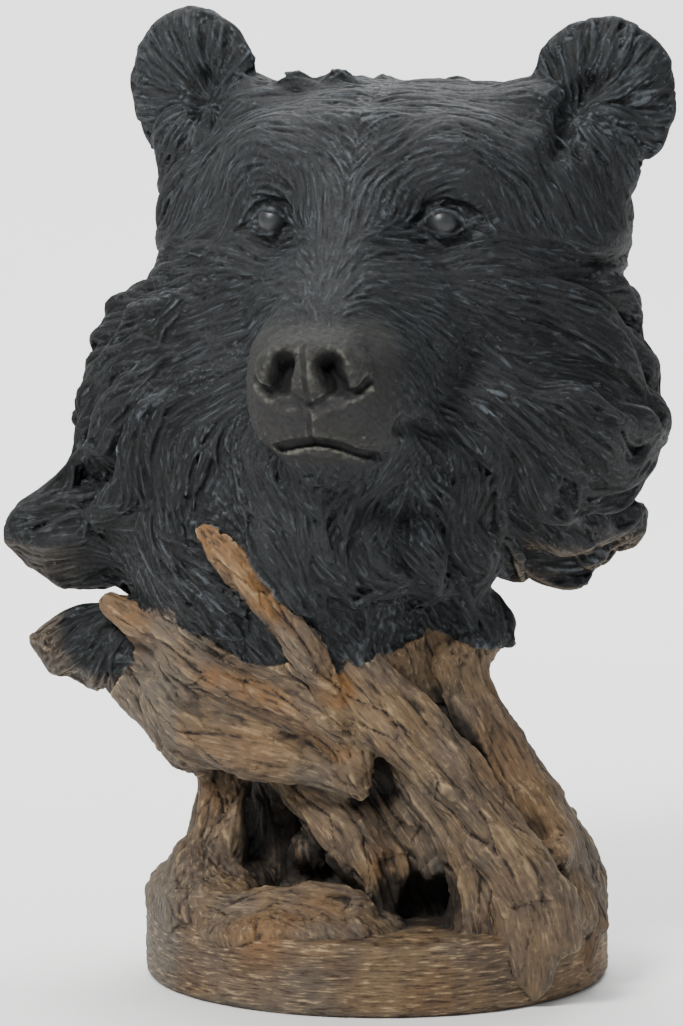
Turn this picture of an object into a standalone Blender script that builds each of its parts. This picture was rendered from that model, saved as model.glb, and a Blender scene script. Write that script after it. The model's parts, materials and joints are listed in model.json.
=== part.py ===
"""A bear's head and mane rising from twisted driftwood on a round foot, cast in one piece."""

import math

import bmesh
import bpy
import numpy as np
from mathutils import Euler, Matrix, Vector
from mathutils.bvhtree import BVHTree

# Driving sizes, in metres
FOOT_DIAMETER = 0.150
FOOT_HEIGHT = 0.023
FOOT_EDGE = 0.0018
BUST_HEIGHT = 0.290

# The bust is laid out in units, each a share of its height and 1 mm at the real size.
# X is to the viewer's right, Y away from the viewer, Z up from the top of the foot.
UNITS_HIGH = 290
UNIT = BUST_HEIGHT / UNITS_HIGH

# The head has its own frame, between the ears and turned to the viewer's left.
HEAD_AT = (7, 10, 240)
HEAD_TURN = math.radians(-16.5)

# How finely the masses are fused, and how often each skin is smoothed
BLOCK_STEP = 0.0022
BLOCK_PASSES = 22
SKIN_STEP = 0.0015
SKIN_PASSES = 4
TRIANGLES = 9800

# The ears in the head's frame: middle, radii. The left one stands a little higher and wider.
EARS = {-1: ((-70.5, 4, 22.5), (24.5, 9, 28.5)), 1: ((65.5, 4, 19), (24.5, 9, 27.5))}
EAR_LEAN = math.radians(16)
EAR_TURN = math.radians(18)
EAR_PIT = (0.3, -0.38)
EAR_DISH = 1.05
EAR_TAPER = 0.06

# The eyes, in the head's frame
EYE_AT = (27.5, -47, -18)
EYE_RADIUS = 5.8
LID_PROUD = 0.3
LID_SPREAD = (-8.5, -5, 0, 5, 9.5)
LID_RADII = (0.8, 1.5, 1.8, 1.6, 0.8)
LIDS = {"upper_lid": (-3.5, 1.5, 4.2, 3, -0.5), "lower_lid": (-3.5, -4, -5, -3.8, -0.5)}

# How proud the roots' ribs stand, as a share of their radius
WOOD_RIBS = 0.11

# Strokes are drawn from this far in front, in units
FRONT_REACH = 200

# The locks of fur: rows down the mane, then each lock's length, radii and lift, in units
SEED = 11
LOCK_ROWS = 7
LOCK_TOP = 202
LOCK_ROW_SPACING = 17
LOCKS_IN_ROW = 24
LOCK_LENGTH = 40
LOCK_RADII = (3, 8, 7.5, 1.5)
LOCK_LIFT = (-2, 0.5, 1.5, 4)
LOCK_FLAT = 0.6
FLOW_REACH = 14

# Where locks grow: the mane's lower edge and top, and the bare front of the face, in units
MANE_EDGE = 92
MANE_EDGE_RISE_RIGHT = 0.12
MANE_EDGE_RISE_LEFT = 0.1
MANE_EDGE_LEFT = -40
MANE_TOP = 222
FACE_FRONT = -20
FACE_HALF_WIDTH = 46
CHIN_LEVEL = -92

FUR = "charcoal_fur"


def clear_scene():
    for obj in list(bpy.data.objects):
        bpy.data.objects.remove(obj)


def collection(name):
    made = bpy.data.collections.new(name)
    bpy.context.scene.collection.children.link(made)
    return made


def material(name, colour, roughness):
    made = bpy.data.materials.new(name)
    made.use_nodes = True
    shader = made.node_tree.nodes["Principled BSDF"]
    shader.inputs["Base Color"].default_value = (*colour, 1)
    shader.inputs["Roughness"].default_value = roughness
    shader.inputs["Metallic"].default_value = 0
    return made


def bust_frame():
    """Units above the foot's top, as metres in the part's frame."""
    return Matrix.Translation((0, 0, FOOT_HEIGHT)) @ Matrix.Scale(UNIT, 4)


def head_frame():
    return bust_frame() @ Matrix.Translation(HEAD_AT) @ Matrix.Rotation(HEAD_TURN, 4, "Z")


def add_mesh(into, name, shape):
    mesh = bpy.data.meshes.new(name)
    shape.to_mesh(mesh)
    shape.free()
    obj = bpy.data.objects.new(name, mesh)
    into.objects.link(obj)
    return obj


def ball(into, name, frame, centre, radii, tilt=(0, 0, 0), square=2.0):
    """An egg-shaped mass. Tilt is in degrees about X, Y and Z, and square above 2 makes it boxier."""
    shape = bmesh.new()
    bmesh.ops.create_uvsphere(shape, u_segments=40, v_segments=28, radius=1)
    for vert in shape.verts:
        vert.co /= sum(abs(c) ** square for c in vert.co) ** (1 / square)
    turn = Euler([math.radians(a) for a in tilt]).to_matrix().to_4x4()
    shape.transform(frame @ Matrix.Translation(centre) @ turn @ Matrix.Diagonal((*radii, 1)))
    return add_mesh(into, name, shape)


def smooth_path(points, radii, steps=6):
    """A Catmull-Rom curve through the points, with the radii eased between them."""
    p = np.array(points, float)
    p = np.vstack([2 * p[0] - p[1], p, 2 * p[-1] - p[-2]])
    r = np.array(radii, float)
    t = np.linspace(0, 1, steps, endpoint=False)[:, None]
    path, sizes = [], []
    for i in range(len(points) - 1):
        a, b, c, d = p[i : i + 4]
        bend = 2 * b + (c - a) * t + (2 * a - 5 * b + 4 * c - d) * t**2
        path.append(0.5 * (bend + (3 * b - a - 3 * c + d) * t**3))
        ease = t[:, 0] ** 2 * (3 - 2 * t[:, 0])
        sizes.append(r[i] + (r[i + 1] - r[i]) * ease)
    path.append(p[-2:-1])
    sizes.append(r[-1:])
    return np.vstack(path), np.concatenate(sizes)


def loft(into, name, frame, rings):
    """A closed skin over rings that hold as many points each."""
    shape = bmesh.new()
    loops = [[shape.verts.new(frame @ Vector(p)) for p in ring] for ring in rings]
    for low, high in zip(loops, loops[1:]):
        for i in range(len(low)):
            j = (i + 1) % len(low)
            shape.faces.new((low[i], low[j], high[j], high[i]))
    shape.faces.new(list(reversed(loops[0])))
    shape.faces.new(loops[-1])
    bmesh.ops.recalc_face_normals(shape, faces=shape.faces)
    return add_mesh(into, name, shape)


def limb(into, name, frame, points, radii, flat=1.0, ribs=0.0, twist=0.0):
    """A root or a lock of fur: an oval profile carried along a smooth path, closed at both ends.

    Flat is the profile's depth as a share of its width. Ribs is how proud its ribs stand, as a
    share of the radius, and twist is how many degrees they turn on the way."""
    path, sizes = smooth_path(points, radii)
    ahead = np.gradient(path, axis=0)
    ahead /= np.linalg.norm(ahead, axis=1)[:, None]
    side = np.cross(ahead, (0.0, -1.0, 0.0))
    side /= np.linalg.norm(side, axis=1)[:, None]
    proud = np.cross(side, ahead)
    around = np.linspace(0, 2 * np.pi, 24, endpoint=False)
    turns = np.radians(twist) * np.linspace(0, 1, len(path))
    rings = []
    for at, size, s, u, turn in zip(path, sizes, side, proud, turns):
        reach = size * (1 + ribs * (np.cos(3 * (around - turn)) + 0.6 * np.cos(5 * (around + turn))))
        across, out = reach * np.cos(around), flat * reach * np.sin(around)
        rings.append(at + across[:, None] * s + out[:, None] * u)
    return loft(into, name, frame, rings)


def stack(into, name, frame, stations):
    """A neck or trunk lofted upwards. Each station is height: (left, right, front, back)."""
    around = np.linspace(0, 2 * np.pi, 48, endpoint=False)
    heights = sorted(stations)
    levels = np.linspace(heights[0], heights[-1], 40)
    edges = np.array([stations[h] for h in heights], float)
    left, right, front, back = (np.interp(levels, heights, edges[:, k]) for k in range(4))
    rings = []
    for z, x0, x1, y0, y1 in zip(levels, left, right, front, back):
        x = (x0 + x1) / 2 + (x1 - x0) / 2 * np.cos(around)
        y = (y0 + y1) / 2 + (y1 - y0) / 2 * np.sin(around)
        rings.append(np.column_stack([x, y, np.full_like(x, z)]))
    return loft(into, name, frame, rings)


def ear(into, name, side):
    """A round ear: a thick disc whose front is dished towards a pit near its inner, lower edge."""
    middle, radii = EARS[side]
    shape = bmesh.new()
    bmesh.ops.create_uvsphere(shape, u_segments=56, v_segments=40, radius=1)
    for vert in shape.verts:
        x, y, z = vert.co
        from_pit = math.hypot(x + side * EAR_PIT[0], z - EAR_PIT[1])
        if y < 0.3:
            vert.co.y += EAR_DISH * max(0.0, 1 - from_pit / 1.15) ** 1.2
        vert.co.x *= 1 - EAR_TAPER * max(0.0, -z)
    lean = Matrix.Rotation(side * EAR_LEAN, 4, "Y")
    turn = Matrix.Rotation(side * EAR_TURN, 4, "Z")
    shape.transform(head_frame() @ Matrix.Translation(middle) @ turn @ lean @ Matrix.Diagonal((*radii, 1)))
    return add_mesh(into, name, shape)


def foot(into):
    """The round foot: a turned disc whose edges are eased."""
    radius = FOOT_DIAMETER / 2
    eased = radius - FOOT_EDGE
    levels = ((0, eased), (FOOT_EDGE, radius), (FOOT_HEIGHT - FOOT_EDGE, radius), (FOOT_HEIGHT, eased))
    around = np.linspace(0, 2 * np.pi, 96, endpoint=False)
    rings = [
        np.column_stack([r * np.cos(around), r * np.sin(around), np.full_like(around, z)]) for z, r in levels
    ]
    return loft(into, "foot", Matrix.Identity(4), rings)


def head_block(into):
    """The large soft masses of the head, in the head's frame."""
    frame = head_frame()
    masses = {
        "skull": ((-1, 8, -23), (73, 54, 49), (0, 0, 0), 2.4),
        "left_temple": ((-58, 4, -21), (22.5, 30, 29), (0, 0, 0), 2.1),
        "forehead": ((-1, -14, -14), (54, 38, 38), (-18, 0, 0), 2.1),
        "glabella": ((0, -34, -18), (30, 22, 26), (-24, 0, 0), 2),
        "muzzle_root": ((0, -46, -50), (36, 32, 30), (20, 0, 0), 2),
        "muzzle": ((0, -66, -66), (28, 33, 25), (12, 0, 0), 2.7),
        "snout": ((0, -84, -70), (25, 17, 21), (6, 0, 0), 2.7),
        "jaw": ((0, -58, -88), (20, 30, 11), (6, 0, 0), 2.2),
        "throat": ((0, -30, -92), (40, 42, 26), (0, 0, 0), 2),
    }
    for side, word, out in ((-1, "left", 0), (1, "right", -4)):
        masses[f"brow_{word}"] = ((side * 28, -29, -3), (27, 19, 20), (0, 0, side * 24), 2)
        masses[f"malar_{word}"] = ((side * 34, -29, -38), (26, 25, 19), (0, side * 20, side * 30), 2)
        masses[f"cheek_{word}"] = ((side * (45 + 2.4 * out), -2, -54), (34, 42, 36), (0, 0, 0), 2)
        masses[f"jowl_{word}"] = ((side * (43 + out), -8, -80), (41, 42, 32), (0, 0, 0), 2)
        masses[f"ear_root_{word}"] = ((side * (64 + 1.4 * out), 4, 0), (20, 16, 25), (0, side * 24, 0), 2)
        masses[f"crest_{word}"] = ((side * 40, -4, 16), (20, 14, 9), (0, side * -8, 0), 2)
    for name, (centre, radii, tilt, square) in masses.items():
        ball(into, name, frame, centre, radii, tilt, square)
    bridge = ((0, -26, 6), (0, -42, -16), (0, -60, -38), (0, -80, -58))
    limb(into, "bridge", frame, bridge, (24, 22, 20, 20), 0.9)


def neck_block(into):
    """The mane's body, cut away under its right side, and the old stump that it stands on."""
    stations = {
        226: (-63, 70, -30, 60),
        205: (-71, 70, -34, 66),
        190: (-78, 71, -41, 71),
        175: (-86, 76, -47, 75),
        150: (-90, 80, -52, 77),
        132: (-89, 66, -55, 75),
        118: (-87, 44, -57, 71),
        104: (-83, 27, -55, 67),
        86: (-72, 28, -50, 60),
        66: (-54, 29, -44, 55),
        44: (-40, 33, -34, 50),
        30: (-40, 40, -28, 50),
        14: (-50, 52, -26, 52),
        0: (-64, 66, -30, 58),
        -6: (-64, 66, -30, 58),
    }
    frame = bust_frame()
    stack(into, "mane_core", frame, stations)
    ball(into, "right_lobe", frame, (52, 12, 128), (26, 34, 17), (0, 0, 0), 2.3)
    ball(into, "right_swell", frame, (66, 12, 160), (19, 34, 22), (0, 0, 0), 2)
    ball(into, "right_tuft", frame, (29, -18, 87), (11, 20, 12), (0, 30, 0), 2)


def hollows(into):
    """What is cut out of the stump: the cave under the shelf, the gap beside it and a back hollow."""
    frame = bust_frame()
    ball(into, "cave", frame, (-25, -40, 26), (20, 30, 19), (0, 0, 0), 2.4)
    ball(into, "gap", frame, (9, -44, 15), (6, 16, 8), (0, 0, 0), 2.2)
    ball(into, "back_hollow", frame, (10, 62, 30), (22, 16, 24), (0, 20, 0), 2.2)


def features(into):
    """The harder forms that sit on the soft blocks of the face."""
    frame = head_frame()
    ball(into, "nose", frame, (0, -97, -60), (18, 8.5, 10.5), (-14, 0, 0), 2.5)
    ball(into, "nose_tip", frame, (0, -94, -68), (10, 9, 8), (0, 0, 0), 2)
    ball(into, "nose_root", frame, (0, -92, -56), (16, 10, 7), (24, 0, 0), 2.3)
    ball(into, "chin", frame, (0, -80, -91), (14, 12, 6), (0, 0, 0), 2)
    for side, word in ((-1, "left"), (1, "right")):
        lip = (side * 11.5, -89, -78)
        ball(into, f"lip_{word}", frame, lip, (13, 10, 9.5), (0, 0, 0), 2.2)
        ear(into, f"ear_{word}", side)


def flares(into):
    """The two ragged slabs that the mane and the wood run out to on the left."""
    frame = bust_frame()
    upper_root = (-78, 4, 119)
    upper_tips = ((-107, 6, 134), (-115, 4, 128), (-121, 6, 120), (-118, 8, 112), (-108, 8, 102))
    for i, tip in enumerate(upper_tips):
        middle = tuple(0.45 * a + 0.55 * b for a, b in zip(upper_root, tip))
        limb(into, f"flare_upper_{i}", frame, (upper_root, middle, tip), (13, 10, 4.5), 1.1)
    lower_root = (-62, 0, 84)
    lower_tips = ((-112, 2, 90), (-106, 0, 80), (-88, 2, 70), (-71, -2, 56), (-58, -6, 48))
    for i, tip in enumerate(lower_tips):
        middle = tuple(0.45 * a + 0.55 * b for a, b in zip(lower_root, tip))
        limb(into, f"flare_lower_{i}", frame, (lower_root, middle, tip), (17, 12, 4.5), 1.1)


ROOTS = {
    # (points, radii, flat, twist): the shelf and what stands on it
    "shelf": (
        ((-86, -4, 85), (-62, -16, 68), (-40, -26, 62), (-14, -32, 56)),
        (11, 14, 14, 11),
        0.85,
        60,
    ),
    "shelf_rim": (
        ((-88, -14, 101), (-72, -22, 92), (-56, -29, 81), (-40, -37, 74), (-25, -42, 68), (-11, -44, 58)),
        (4, 5, 5.5, 5.5, 5.5, 4),
        1.0,
        90,
    ),
    "shelf_foot": (
        ((-60, -18, 51), (-42, -30, 53), (-25, -36, 51), (-8, -40, 46)),
        (5, 7, 7, 5),
        0.9,
        60,
    ),
    "block": (
        ((-75, -12, 82), (-69, -18, 69), (-63, -20, 59), (-58, -18, 49)),
        (7, 9, 8.5, 6),
        0.9,
        20,
    ),
    "tongue": (((-9, -40, 62), (-6, -44, 52), (-3, -42, 42)), (5, 5.5, 4), 0.9, 20),
    "leaf": (
        ((-32, -38, 80), (-18, -45, 72), (-7, -46, 64), (-1, -43, 56)),
        (4, 8.5, 7.5, 4),
        0.7,
        20,
    ),
    "strip": (
        ((-55, -46, 127), (-46, -53, 118), (-37, -55, 106), (-24, -54, 90), (-13, -50, 76)),
        (4, 6, 5.5, 5, 3),
        1.0,
        60,
    ),
    # the limbs that lean to the right
    "trunk": (
        (
            ((-20, -34, 98), (-7, -42, 80), (8, -45, 64), (24, -48, 45))
            + ((35, -50, 31), (45, -52, 16), (50, -52, -8))
        ),
        (9, 10, 10.5, 10, 11, 12.5, 14),
        0.9,
        150,
    ),
    "trunk_low": (
        ((2, -32, 72), (14, -37, 49), (25, -41, 32), (31, -44, 14), (30, -46, -6)),
        (8, 9, 9, 9, 11),
        1.0,
        90,
    ),
    "right_limb": (
        (
            ((20, -22, 102), (26, -27, 83), (33, -28, 64), (41, -28, 49))
            + ((49, -28, 34), (57, -27, 18), (60, -24, -4))
        ),
        (9, 9, 9.5, 9.5, 9.5, 11, 14),
        1.0,
        140,
    ),
    "right_back": (
        ((18, -4, 90), (27, -4, 62), (38, -2, 38), (51, 0, 14), (58, 0, -6)),
        (11, 11, 11, 13, 15),
        1.0,
        80,
    ),
    "rim_block": (
        ((58, -10, 28), (63, -16, 16), (63, -24, 4), (62, -29, -8), (58, -30, -18)),
        (8, 9, 9, 9, 7),
        1.0,
        40,
    ),
    "rim_front": (
        ((42, -50, 10), (45, -55, -1), (47, -55, -12), (46, -50, -20)),
        (11, 11, 9, 6),
        0.9,
        30,
    ),
    # the roots round the cave
    "left_root": (
        ((-42, -6, 62), (-50, -10, 46), (-50, -14, 36), (-51, -19, 24), (-56, -21, 13), (-59, -22, -4)),
        (9, 8, 7.5, 8.5, 12, 15),
        1.0,
        70,
    ),
    "inner_root": (
        ((-34, -8, 56), (-25, -18, 45), (-15, -25, 37), (-7, -31, 28), (-1, -34, 17), (2, -33, 4)),
        (9, 9.5, 10.5, 10.5, 10, 7),
        1.0,
        80,
    ),
    "inner_flank": (
        ((-2, -20, 50), (8, -25, 38), (15, -29, 28), (20, -32, 15)),
        (10, 11, 10, 8),
        1.0,
        60,
    ),
    "pillar": (
        ((-38, 6, 54), (-34, 1, 38), (-29, -4, 26), (-26, -8, 12), (-26, -8, -4)),
        (8, 7, 7, 9, 12),
        1.0,
        60,
    ),
    "ground_root": (
        ((-58, -34, 4), (-34, -44, 7), (-13, -49, 9), (-1, -49, 7)),
        (8, 7, 6, 4),
        0.75,
        30,
    ),
    # plainer ones round the back
    "back_root": (
        ((-14, 26, 88), (-14, 38, 50), (-24, 44, 22), (-34, 46, -6)),
        (14, 14, 14, 18),
        1.0,
        90,
    ),
    "back_strand": (
        ((16, 30, 92), (8, 44, 60), (2, 50, 30), (-6, 52, -6)),
        (12, 10, 10, 14),
        1.0,
        90,
    ),
    "side_root": (
        ((10, 22, 88), (26, 34, 50), (38, 34, 20), (50, 32, -6)),
        (14, 14, 13, 17),
        1.0,
        90,
    ),
    "left_back": (
        ((-40, 16, 78), (-44, 22, 44), (-50, 22, 18), (-58, 20, -6)),
        (12, 11, 12, 16),
        1.0,
        80,
    ),
}
MOUNDS = {
    "left_mound": ((-53, -12, 4), (21, 32, 15)),
    "front_mound": ((-14, -46, -2), (30, 20, 7)),
    "right_mound": ((56, -10, 4), (18, 36, 16)),
    "back_mound": ((-6, 46, -1), (44, 26, 9)),
    "knot": ((57, -41, 23), (5, 5, 5)),
    "lump": ((-20, -22, 20), (8, 7, 8)),
    "groove_floor": ((18, -22, 74), (12, 12, 22)),
}


def driftwood(into):
    """The twisted roots between the mane and the foot."""
    frame = bust_frame()
    for name, (points, radii, flat, twist) in ROOTS.items():
        limb(into, name, frame, points, radii, flat, WOOD_RIBS, twist)
    for name, (centre, radii) in MOUNDS.items():
        ball(into, name, frame, centre, radii)


def fuse(name, masses, into, step, passes):
    """Joins every mesh of a collection into one closed skin, and softens where they meet."""
    shape = bmesh.new()
    for obj in list(masses.objects):
        shape.from_mesh(obj.data)
        bpy.data.objects.remove(obj)
    skin = add_mesh(into, name, shape)
    remesh = skin.modifiers.new("fuse", "REMESH")
    remesh.mode = "VOXEL"
    remesh.voxel_size = step
    soften = skin.modifiers.new("soften", "SMOOTH")
    soften.factor = 0.5
    soften.iterations = passes
    apply_modifiers(skin)
    return skin


def apply_modifiers(obj):
    graph = bpy.context.evaluated_depsgraph_get()
    made = bpy.data.meshes.new_from_object(obj.evaluated_get(graph))
    obj.modifiers.clear()
    obj.data = made


def cut_away(obj, waste):
    """Cuts the masses of a collection out of a skin."""
    for tool in list(waste.objects):
        cut = obj.modifiers.new("cut", "BOOLEAN")
        cut.operation = "DIFFERENCE"
        cut.solver = "EXACT"
        cut.object = tool
        apply_modifiers(obj)
        bpy.data.objects.remove(tool)


def thin_out(obj):
    """Brings a skin down to its share of triangles, and keeps them as triangles."""
    triangles = sum(len(face.vertices) - 2 for face in obj.data.polygons)
    collapse = obj.modifiers.new("thin", "DECIMATE")
    collapse.ratio = min(1.0, TRIANGLES / triangles)
    split = obj.modifiers.new("split", "TRIANGULATE")
    split.quad_method = "BEAUTY"
    apply_modifiers(obj)


def outer_skin(obj):
    """Keeps the largest connected skin, and drops the closed pockets inside it."""
    shape = bmesh.new()
    shape.from_mesh(obj.data)
    unseen, bodies = set(shape.verts), []
    while unseen:
        front = [unseen.pop()]
        body = list(front)
        while front:
            linked = {e.other_vert(v) for v in front for e in v.link_edges} & unseen
            unseen -= linked
            front = list(linked)
            body += front
        bodies.append(body)
    bodies.sort(key=len)
    bmesh.ops.delete(shape, geom=[v for body in bodies[:-1] for v in body], context="VERTS")
    shape.to_mesh(obj.data)
    shape.free()


def seen_on(obj, frame, route):
    """Drops points of the frame's front view, each (x, z), onto the skin."""
    tree = BVHTree.FromObject(obj, bpy.context.evaluated_depsgraph_get())
    ahead = (frame.to_3x3() @ Vector((0, 1, 0))).normalized()
    found = []
    for x, z in route:
        hit = tree.ray_cast(frame @ Vector((x, -FRONT_REACH, z)), ahead)[0]
        if hit is not None:
            found.append(hit)
    return np.array(found)


def carve(obj, frame, strokes):
    """Cuts grooves and raises ridges. A stroke is (route, width, height), in units, as seen from the
    front; a route of one point is a dab, and a height below zero cuts in."""
    routes = [seen_on(obj, frame, route) for route, _, _ in strokes]
    count = len(obj.data.vertices)
    points, outward = np.empty(count * 3), np.empty(count * 3)
    obj.data.vertices.foreach_get("co", points)
    obj.data.vertex_normals.foreach_get("vector", outward)
    points, outward = points.reshape(-1, 3), outward.reshape(-1, 3)
    rise = np.zeros(count)
    for route, (_, width, height) in zip(routes, strokes):
        near = distance_to(points, route) / (width * UNIT)
        rise += height * UNIT * np.clip(1 - near**2, 0, 1) ** 2
    obj.data.vertices.foreach_set("co", (points + rise[:, None] * outward).ravel())
    obj.data.update()


def distance_to(points, route):
    """How far each point is from a route of straight stretches."""
    if len(route) == 1:
        return np.linalg.norm(points - route[0], axis=1)
    nearest = np.full(len(points), np.inf)
    for a, b in zip(route, route[1:]):
        along = np.clip((points - a) @ (b - a) / ((b - a) @ (b - a)), 0, 1)
        nearest = np.minimum(nearest, np.linalg.norm(points - a - along[:, None] * (b - a), axis=1))
    return nearest


def face_strokes():
    """Eyes, nostrils and mouth, drawn on the head's front view."""
    strokes = [
        (((0, -53), (0, -62), (0, -72), (0, -83)), 2.2, -1.6),
        (((-15, -87), (-8, -85), (0, -84), (8, -85.5), (15, -88)), 3.2, -4.5),
        (((0, 8), (0, -4), (0, -16)), 8, -1.2),
    ]
    for side in (-1, 1):
        strokes += [
            (((side * EYE_AT[0], EYE_AT[2] + 1),), 13, -3.5),
            (((side * 18, -20), (side * 15, -25)), 8, -2.0),
            (((side * 8.6, -62),), 6.4, -8.5),
            (((side * 9, -63), (side * 13.5, -66)), 4.2, -3.0),
            (((side * 18, -66), (side * 12, -72.5), (side * 4, -75), (0, -76)), 2.6, -2.0),
        ]
    return strokes


def wood_strokes():
    """Splits, ledges and creases of the driftwood, drawn on the bust's front view."""
    return [
        (((12, 92), (20, 72), (31, 52), (41, 36), (50, 20)), 6, -4),
        (((-1, 72), (12, 52), (26, 34), (34, 20)), 3.5, -2),
        (((-66, 66), (-50, 62), (-34, 60), (-14, 53)), 3.5, -2.2),
        (((-58, 60), (-55, 52), (-52, 46)), 3, -2.5),
        (((33, 74), (42, 54), (52, 36), (62, 22)), 3, -2),
        (((48, 20), (48, 12), (50, 0), (55, -10), (59, -18)), 3.5, -3.5),
        (((-66, 2), (-40, -1), (-16, 0), (6, -3)), 3, -1.5),
    ]


def eye(into, word, side):
    """An eyeball, and the two lids that run across it from corner to corner."""
    frame = head_frame()
    seat = Vector((side * EYE_AT[0], *EYE_AT[1:]))
    ball(into, f"eye_{word}", frame, seat, (EYE_RADIUS,) * 3)
    for lid, heights in LIDS.items():
        route = []
        for across, height in zip(LID_SPREAD, heights):
            proud = max(0.0, (EYE_RADIUS + LID_PROUD) ** 2 - across**2 - height**2)
            route.append(seat + Vector((side * across, -math.sqrt(proud), height)))
        limb(into, f"{lid}_{word}", frame, route, LID_RADII)


FLOW = {
    (-80, -20, 180): (-0.3, 0.1, -1),
    (-62, -44, 152): (0.3, 0, -1),
    (-88, -10, 128): (-1, 0, 0),
    (-60, -50, 118): (0.9, 0, -0.5),
    (-32, -54, 98): (0.7, 0, -0.9),
    (-8, -58, 120): (0.6, 0, -1),
    (24, -50, 102): (0.6, 0, -1),
    (0, -60, 142): (-0.2, 0, -1),
    (34, -56, 140): (0.1, 0, -1),
    (54, -42, 136): (0.8, 0.1, -0.6),
    (74, -14, 146): (1, 0.4, -0.3),
    (66, -26, 184): (0.8, 0.6, -0.5),
    (-66, -28, 205): (-0.5, 0.5, -0.8),
    (88, 24, 186): (0.2, 0.7, -0.9),
    (78, 58, 140): (-0.2, 0.4, -1),
    (0, 78, 190): (0, 0.3, -1),
    (0, 74, 110): (0, 0, -1),
    (-88, 40, 170): (-0.2, 0.4, -1),
    (-80, 46, 116): (-0.5, 0, -1),
}


def flow(point):
    """Which way the fur runs at a point, in units: the combed directions nearby, blended."""
    total = Vector((0, 0, 0))
    for at, way in FLOW.items():
        total += Vector(way).normalized() / (1 + ((point - Vector(at)).length / FLOW_REACH) ** 4)
    return total.normalized()


def furred(point):
    """Whether locks grow at a point, in units: round the neck, and not on the face or the wood."""
    on_head = (head_frame().inverted() @ bust_frame()) @ point
    face = on_head.y < FACE_FRONT and abs(on_head.x) < FACE_HALF_WIDTH and on_head.z > CHIN_LEVEL
    to_left, to_right = max(MANE_EDGE_LEFT - point.x, 0), max(point.x, 0)
    edge = MANE_EDGE + MANE_EDGE_RISE_RIGHT * to_right + MANE_EDGE_RISE_LEFT * to_left
    return not face and edge < point.z < MANE_TOP


def locks(into, skin):
    """Locks of fur laid over the mane in rows, each following the flow and lifting at its tip."""
    frame = bust_frame()
    to_units = frame.inverted()
    tree = BVHTree.FromObject(skin, bpy.context.evaluated_depsgraph_get())
    rng = np.random.RandomState(SEED)
    count = 0
    for row in range(LOCK_ROWS):
        height = LOCK_TOP - row * LOCK_ROW_SPACING
        for k in range(LOCKS_IN_ROW):
            angle = 2 * math.pi * (k + 0.5 * (row % 2) + rng.uniform(-0.25, 0.25)) / LOCKS_IN_ROW
            out = Vector((math.cos(angle), math.sin(angle), 0))
            start = Vector((-4, 8, height + rng.uniform(-5, 5))) + out * FRONT_REACH
            length = LOCK_LENGTH * rng.uniform(0.8, 1.25)
            at = tree.ray_cast(frame @ start, -out)[0]
            if at is None or not furred(to_units @ at):
                continue
            points = []
            for lift in LOCK_LIFT:
                near, normal = tree.find_nearest(at)[:2]
                points.append(to_units @ near + normal * lift)
                way = flow(to_units @ near)
                way = (way - normal * way.dot(normal)).normalized()
                at = near + way * (length / (len(LOCK_LIFT) - 1)) * UNIT
            limb(into, f"lock_{count}", frame, points, LOCK_RADII, LOCK_FLAT)
            count += 1


def build():
    clear_scene()
    blocks = collection("blocks")
    head_block(blocks)
    neck_block(blocks)
    masses = collection("masses")
    block = fuse("block", blocks, masses, BLOCK_STEP, BLOCK_PASSES)
    waste = collection("waste")
    hollows(waste)
    cut_away(block, waste)
    locks(masses, block)
    features(masses)
    flares(masses)
    driftwood(masses)
    foot(masses)
    eyeballs = collection("eyeballs")
    skin = fuse("skin", masses, eyeballs, SKIN_STEP, SKIN_PASSES)
    carve(skin, head_frame(), face_strokes())
    carve(skin, bust_frame(), wood_strokes())
    for side, word in ((-1, "left"), (1, "right")):
        eye(eyeballs, word, side)
    casting = collection("bear_statue")
    statue = fuse("bear_statue", eyeballs, casting, SKIN_STEP, 1)
    outer_skin(statue)
    thin_out(statue)
    statue.data.materials.append(material(FUR, (0.035, 0.038, 0.042), 0.55))
    return statue


if __name__ == "__main__":
    build()
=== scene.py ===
# %% [markdown]
# # The bear statue's finish
#
# A painted resin bust: a bear's head whose mane runs down into twisted driftwood on a round foot.
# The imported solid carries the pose, the face, the larger locks and the roots. This lesson makes the
# same casting again with its hair, its wood grain and its paint, and stands it in a pale studio.

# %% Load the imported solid
import json
import math

import bpy
import numpy as np
from mathutils import Euler, Matrix, Vector
from mathutils.bvhtree import BVHTree
from mathutils.kdtree import KDTree

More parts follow.
